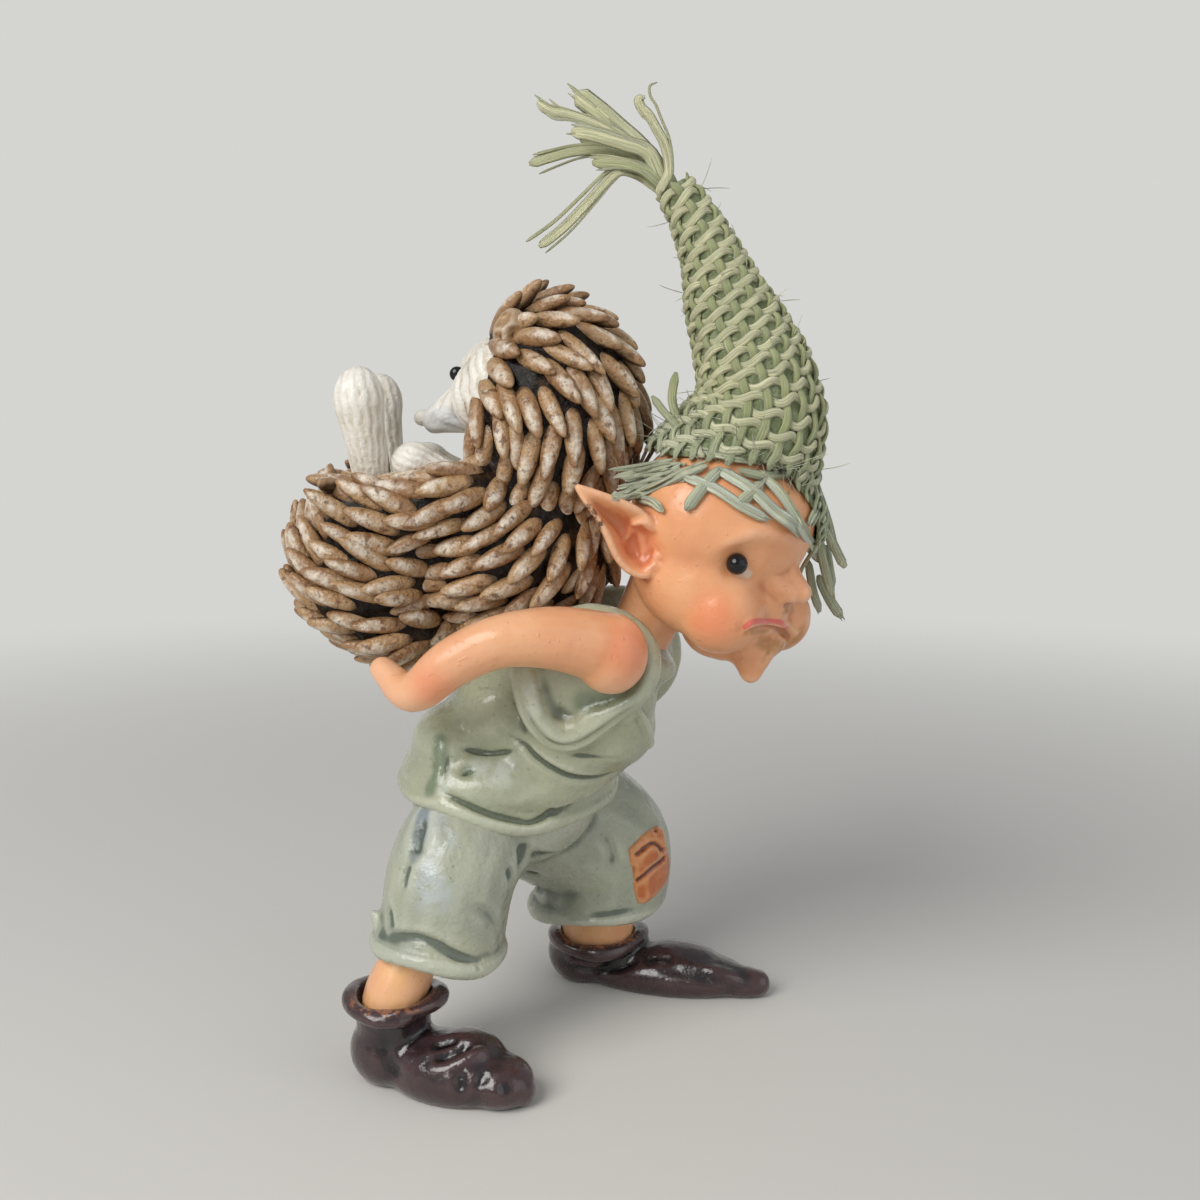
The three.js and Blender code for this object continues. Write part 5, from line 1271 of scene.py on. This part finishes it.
hat_radii = np.empty((len(hat_heights), len(hat_turns)))
for i, height in enumerate(hat_heights):
    middle, side, deep = hat_ring(height)
    for j, turn in enumerate(hat_turns):
        towards = np.cos(turn - math.pi / 2) * side + np.sin(turn - math.pi / 2) * deep
        loose = np.interp(height, *HAT_WIDTHS)
        loose *= 1 + 0.05 * math.sin(3 * turn + 0.22 * height) * math.sin(math.pi * np.clip(height / HAT_LONG, 0, 1))
        hit, place, _, _ = head.ray_cast(spot(*(middle + CAST_FROM * towards)), Vector(-towards), distance=CAST_REACH)
        under = 1000 * (place - spot(*middle)).length if hit and height < SKULL_TOP else 0
        hat_radii[i, j] = max(loose, min(under, SKULL_WIDEST) + CLOTH_GAP)
for _ in range(3):
    hat_radii[1:-1] = np.maximum(hat_radii[1:-1], (hat_radii[:-2] + 2 * hat_radii[1:-1] + hat_radii[2:]) / 4)
    around = np.roll(hat_radii[:, :-1], 1, 1) + np.roll(hat_radii[:, :-1], -1, 1) + 2 * hat_radii[:, :-1]
    hat_radii[:, :-1] = np.maximum(hat_radii[:, :-1] - 0.15, around / 4)
    hat_radii[:, -1] = hat_radii[:, 0]
hat_round = hat_radii.mean(1)


def on_hat(height, turn, lift):
    """A place on the cloth in metres, and the way it faces."""
    middle, side, deep = hat_ring(height)
    towards = np.cos(turn - math.pi / 2) * side + np.sin(turn - math.pi / 2) * deep
    row = np.clip((height - hat_heights[0]) / (hat_heights[1] - hat_heights[0]), 0, len(hat_heights) - 1.001)
    column = np.clip((turn + math.pi) / (hat_turns[1] - hat_turns[0]), 0, len(hat_turns) - 1.001)
    i, j = int(row), int(column)
    a, b = row - i, column - j
    radius = (1 - a) * ((1 - b) * hat_radii[i, j] + b * hat_radii[i, j + 1])
    radius += a * ((1 - b) * hat_radii[i + 1, j] + b * hat_radii[i + 1, j + 1])
    return np.array(spot(*(middle + (radius + lift) * towards))), towards


def brim_height(turn):
    """The cut edge of the cloth: high over the brow, low over the far temple and the nape."""
    return float(np.interp(turn, [-3.2, -2, -1.5, -1, -0.5, 0, 0.5, 1, 1.5, 2.2, 3.2],
                           [-2.5, -1, 0, 0.8, 2.8, 4.4, 4.8, 2.4, -3, -4.6, -2.5]))


class Yarns:
    """Yarns spun together into one mesh, each with its own tone and the run of its fibres."""

    def __init__(self):
        self.places, self.faces, self.fibre, self.kind, self.count = [], [], [], [], 0

    def spin(self, steps, half_wide, half_high, tone, kind, sides=6):
        """A yarn through steps, each a place and the way it faces; its half sizes are in millimetres."""
        line, outs = (np.array(column) for column in zip(*steps))
        ahead = np.gradient(line, axis=0)
        ahead /= np.maximum(np.linalg.norm(ahead, axis=1), 1e-12)[:, None]
        across = np.cross(ahead, outs)
        across /= np.maximum(np.linalg.norm(across, axis=1), 1e-12)[:, None]
        outs = np.cross(across, ahead)
        run = np.r_[0, np.cumsum(np.linalg.norm(np.diff(line, axis=0), axis=1))] * 1000
        slim = YARN_TIP + (1 - YARN_TIP) * np.clip(np.minimum(run, run[-1] - run) / YARN_TAPER, 0, 1)
        rows = len(line)
        for a in wheel(sides):
            ring = line + across * (math.cos(a) * half_wide / 1000 * slim)[:, None]
            self.places.append(ring + outs * (math.sin(a) * half_high / 1000 * slim)[:, None])
            self.fibre.append(np.c_[
                FIBRE_RUN * run, np.full(rows, FIBRE_ROUND * math.cos(a)), np.full(rows, FIBRE_TONE * tone)])
        self.kind.append(np.full(rows * sides, kind))
        first = self.count
        for n in range(sides):
            here, there = first + n * rows, first + (n + 1) % sides * rows
            self.faces.extend((here + k, here + k + 1, there + k + 1, there + k) for k in range(rows - 1))
        self.faces.append(tuple(first + n * rows for n in range(sides)))
        self.faces.append(tuple(first + n * rows + rows - 1 for n in reversed(range(sides))))
        self.count += rows * sides

    def piece(self, name):
        made = modelled(name, np.vstack(self.places).tolist(), self.faces)
        bpy.ops.object.shade_smooth()
        mark = made.data.attributes.new("fibre", "FLOAT_VECTOR", "POINT")
        mark.data.foreach_set("vector", np.vstack(self.fibre).astype(np.float32).ravel())
        note(made, "kind", np.concatenate(self.kind))
        return made


brims = [(brim_height(turn), turn) for turn in hat_turns[:-1:2]]
# A thin dark sheet just under the yarns: painted shadow that shows through the gaps of the weave.
shadow_sheet_rows = []
for share in np.linspace(0, 1, 40):
    shadow_sheet_rows.append([on_hat(brim + share * (HAT_LONG - 1 - brim), turn, 0)[0] for brim, turn in brims])
across = len(shadow_sheet_rows[0])
mesh = bpy.data.meshes.new("hat_shadow_sheet")
mesh.from_pydata(
    [tuple(p) for row in shadow_sheet_rows for p in row], [],
    [(r * across + n, r * across + (n + 1) % across, (r + 1) * across + (n + 1) % across, (r + 1) * across + n)
     for r in range(len(shadow_sheet_rows) - 1) for n in range(across)])
hat_shadow_sheet = bpy.data.objects.new("hat_shadow_sheet", mesh)
scene.collection.objects.link(hat_shadow_sheet)
apply_modifier(hat_shadow_sheet, "SOLIDIFY", thickness=0.0003, offset=0)
bpy.ops.object.shade_smooth()
# Painted shadow: the dark green seen in the gaps between the yarns.
gap_shadow_paint = Paint("jute_shadow", (0.17, 0.20, 0.10), 0.9)
gap_shadow_paint.coats(((0.27, 0.31, 0.17), 1, (1.2, 0.4, 0.65)))
gap_shadow_paint.bumps((0.5, 0.3, 0.7), 0.2, 0.8)

weave = Yarns()
rows = int(HAT_LONG / WEFT_PITCH) + 5
for k in range(-5, rows):
    height = WEFT_PITCH * (k + 0.4)
    if height > HAT_LONG - 1.5:
        continue
    girth = np.interp(height, hat_heights, hat_round)
    steps = []
    tone = dice.uniform()
    for p in np.arange(-math.pi * girth + 0.3, math.pi * girth - 0.3, WARP_PITCH / 7):
        turn = p / girth
        phase = math.pi * p / WARP_PITCH + math.pi * k
        shift = WEFT_SWAY * math.sin(phase)
        if height < brim_height(turn) + 0.4:
            if len(steps) > WEFT_SHORTEST:
                weave.spin(steps, *WEFT_HALF, tone, 1)
            steps = []
            continue
        steps.append(on_hat(height + shift, turn, YARN_LIFT + YARN_WAVE * math.cos(phase)))
    if len(steps) > WEFT_SHORTEST:
        weave.spin(steps, *WEFT_HALF, tone, 1)
widest = int(math.pi * hat_round.max() / WARP_PITCH)
for j in range(-widest, widest + 1):
    steps = []
    tone = dice.uniform()
    for height in np.arange(HAT_LOW, HAT_LONG - 0.4, WEFT_PITCH / 5):
        girth = np.interp(height, hat_heights, hat_round)
        turn = j * WARP_PITCH / girth
        if abs(turn) > math.pi - 0.25 / girth:
            if height > 0:
                break
            continue
        if height < brim_height(turn) - 0.6:
            continue
        phase = math.pi * (height / WEFT_PITCH - 0.4) + math.pi * j
        steps.append(on_hat(height, turn, YARN_LIFT - YARN_WAVE * math.cos(phase)))
    if len(steps) > WARP_SHORTEST:
        weave.spin(steps, *WARP_HALF, tone, 0)
hat_weave = weave.piece("hat_weave")

fray = Yarns()


def lay_strand(path, half_wide, tone, kind=1.0, lift=0.5):
    """A loose strand: it lies on the head where the head is under it, and hangs free past it."""
    knots, outs = [], []
    for u, v, *depth in path:
        found, place, facing, _ = (False, None, None, -1) if depth else look(head, [(u, v)])[0]
        if found:
            knots.append(np.array(place + facing * (lift / 1000)))
            outs.append(np.array(facing))
        else:
            knots.extend(spots(*sighted((u, v, *(depth or [1.0])))))
            outs.append(np.array((-0.2, -1.0, 0.25)))
    line = bent(knots, steps=6)
    faces = bent(outs, steps=6)
    faces /= np.linalg.norm(faces, axis=1)[:, None]
    fray.spin(zip(line, faces), 1.3 * half_wide, 0.2, tone, kind)


for path, half_wide, kind in [
    ([(684, 452), (714, 456), (739, 461), (775, 463)], 0.75, 0.8),
    ([(611, 497), (645, 495), (684, 477), (707, 468)], 0.5, 1.0),
    ([(720, 470), (700, 493), (687, 511)], 0.55, 0.55),
    ([(684, 478), (714, 490), (739, 506), (766, 520)], 0.5, 1.4),
    ([(718, 472), (748, 490), (771, 511), (793, 527), (814, 552), (829, 561)], 0.62, 1.5),
    ([(759, 476), (779, 497), (793, 518), (800, 530), (818, 551)], 0.6, 1.5),
    ([(737, 473), (762, 478), (789, 475)], 0.5, 0.2),
    ([(761, 484), (748, 496), (736, 506)], 0.5, 0.5),
    ([(812, 510), (804, 524)], 0.5, 0.4),
    ([(640, 500), (655, 503), (666, 512)], 0.4, 0.9),
    ([(786, 452), (800, 470), (812, 492), (822, 520)], 0.5, 0.9),
    ([(800, 455), (816, 490), (827, 522), (834, 552)], 0.5, 0.5),
    ([(826, 528, -1), (836, 550, -1), (845, 568, -1)], 0.45, 1.0),
    ([(818, 535, 0), (824, 565, 0), (832, 596, 0)], 0.45, 0.6),
    ([(808, 560, 2), (813, 590, 2), (820, 612, 2)], 0.4, 0.3),
    ([(818, 575, 3), (830, 600, 3), (842, 618, 3)], 0.5, 0.2),
    ([(826, 545, 1), (830, 570, 1), (833, 588, 1)], 0.4, 0.2),
    ([(622, 492, -9), (640, 487, -9.5), (664, 478, -10)], 0.4, 1.2),
    ([(628, 484, -8), (650, 478, -9), (676, 470, -9)], 0.4, 1.0),
    ([(650, 470, -8), (668, 462, -8.5), (690, 462, -9)], 0.4, 1.4),
    ([(668, 440, -7), (676, 420, -7), (672, 398, -7), (676, 372, -7)], 0.4, 0.3),
    ([(684, 446, -8), (676, 425, -8), (664, 412, -7), (652, 396, -6)], 0.35, 0.3),
    ([(660, 458, -8), (672, 446, -8), (690, 450, -8)], 0.4, 1.2),
]:
    lay_strand(path, half_wide, dice.uniform(), kind)
    for _ in range(2):
        shift = dice.uniform(-3, 3, 2)
        loose = [(u + shift[0], v + shift[1], *depth) for u, v, *depth in path]
        lay_strand(loose, dice.uniform(0.08, 0.15), dice.uniform(), dice.uniform(0.8, 1.6), 0.7)
TASSEL_ROOT = (672, 198, 0.2)
for path, half_wide, kind in [
    ([(655, 186, 0), (640, 176, 0), (622, 171, -1), (610, 178, -1.5), (589, 201, -2), (565, 226, -2),
      (539, 247, -2)], 0.5, 1.0),
    ([(660, 182, 0), (640, 160, 0), (606, 150, 0.5), (575, 151, 1), (551, 157, 1), (529, 164, 1)], 0.55, 0.7),
    ([(662, 178, 0), (634, 146, 0), (603, 126, 1), (568, 114, 1), (551, 111, 1), (537, 102, 1)], 0.5, 1.1),
    ([(662, 176, 0.5), (640, 148, 1), (618, 128, 2), (600, 112, 2), (586, 101, 2), (576, 93, 2)], 1.0, 0.8),
    ([(660, 176, -0.5), (648, 152, -1), (622, 142, -1.5), (589, 133, -2), (571, 132, -2)], 0.75, 0.9),
    ([(658, 182, -0.5), (640, 168, -1), (614, 163, -1.5), (592, 163, -2)], 0.6, 0.5),
    ([(664, 178, 0.5), (646, 156, 1), (612, 139, 2), (580, 139, 3)], 0.7, 0.4),
    ([(664, 180, 1), (646, 162, 2), (618, 154, 3), (594, 150, 4)], 0.6, 0.7),
    ([(660, 192, -1.5), (669, 172, -1.5), (665, 146, -1.5), (655, 126, -1.5), (648, 114, -1.5), (641, 107, -1.5),
      (639, 99, -1.5), (645, 97, -1.5)], 0.45, 0.9),
    ([(662, 180, 1), (650, 166, 2), (632, 158, 4), (606, 168, 5)], 0.5, 0.3),
    ([(664, 176, 1), (644, 150, 3), (616, 136, 5), (598, 124, 6)], 0.55, 0.8),
]:
    path = [TASSEL_ROOT, *path]
    lay_strand(path, half_wide, dice.uniform(), kind)
    for _ in range(3):
        spread = dice.uniform(-1, 1, 2)
        loose = [(u + 2.2 * n * spread[0], v + 2.2 * n * spread[1], y) for n, (u, v, y) in enumerate(path)]
        lay_strand(loose, dice.uniform(0.1, 0.2), dice.uniform(), dice.uniform(0.6, 1.4))
for n, turn in enumerate([1.7, 2.0, 2.35, 2.7, 3.0, -3.0, -2.7, -2.35, -2.0, -1.7]):
    falls = (0.6, -1.2, -3.0, -4.6 - dice.uniform(0, 2))
    knots, outs = zip(*(on_hat(max(brim_height(turn) + fall, HAT_LOW), turn + 0.03 * fall * math.sin(3 * n), 0.5)
                        for fall in falls))
    steps = zip(bent(knots, steps=5), bent(outs, steps=5))
    fray.spin(steps, 0.5, 0.2, dice.uniform(), dice.uniform(0.2, 1.4))
TUFT_COUNT, LINT_COUNT = 34, 260
for _ in range(TUFT_COUNT):
    u, v = 664 + dice.uniform(0, 30), 462 + dice.uniform(0, 20)
    left, low = dice.uniform(30, 66), dice.uniform(4, 30)
    path = [(u, v), (u - 0.5 * left, v + 0.35 * low, -10.4 + dice.uniform(-1, 1)), (u - left, v + low, -11)]
    lay_strand(path, dice.uniform(0.1, 0.26), dice.uniform(), dice.uniform(0.5, 1.6))
hat_fray = fray.piece("hat_fray")

lint = Yarns()
for n in range(LINT_COUNT):
    if n < LINT_COUNT // 2:
        height, turn = dice.uniform(-1, 7), dice.uniform(-1.9, 0.9)
    else:
        height, turn = dice.uniform(0, HAT_LONG - 2), dice.uniform(-math.pi, math.pi)
    place, out = on_hat(max(height, brim_height(turn)), turn, 0.5)
    drift = dice.normal(size=3)
    drift /= np.linalg.norm(drift)
    long = dice.uniform(1.2, 3.6) / 1000
    steps = [(place + drift * long * t + out * long * (0.55 * t - 0.3 * t * t), out) for t in np.linspace(0, 1, 6)]
    lint.spin(steps, 0.05, 0.05, dice.uniform(), dice.uniform(0.6, 1.6), sides=3)
hat_lint = lint.piece("hat_lint")

jute_paint = Paint("jute_yarn", (0.36, 0.40, 0.19), 0.62)
fibres = jute_paint.nodes.new("ShaderNodeAttribute")
fibres.attribute_name = "fibre"
streak = jute_paint.cloud(1000, 0.35, 0.7, 4, fibres.outputs["Vector"])
glint = jute_paint.cloud(1000, 0.6, 0.78, 3, fibres.outputs["Vector"])
jute_paint.coats(
    ((0.48, 0.50, 0.24), 0.8, (6, 0.35, 0.65)),
    ((0.80, 0.77, 0.50), 0.85, ("kind", 0.25, 1.0)),
    ((0.76, 0.81, 0.68), 0.85, ("kind", 1.0, 1.6)),
    ((0.66, 0.73, 0.62), 0.4, ("base", 0.0, 1.0)),
    ((0.24, 0.29, 0.125), 0.5, streak),
    ((0.84, 0.84, 0.66), 0.7, glint))
jute_paint.bumps(streak, 0.15, 0.8)
jute_paint.shader.inputs["Sheen Weight"].default_value = 0.25
for piece in (hat_weave, hat_fray, hat_lint):
    above = (corners(piece) - np.array(spot(*hat_foot))) @ head_up * 1000
    note(piece, "base", np.clip(1 - above / 9, 0, 1))
    finish(piece, jute_paint, "jute")
finish(hat_shadow_sheet, gap_shadow_paint, "jute", "hat")
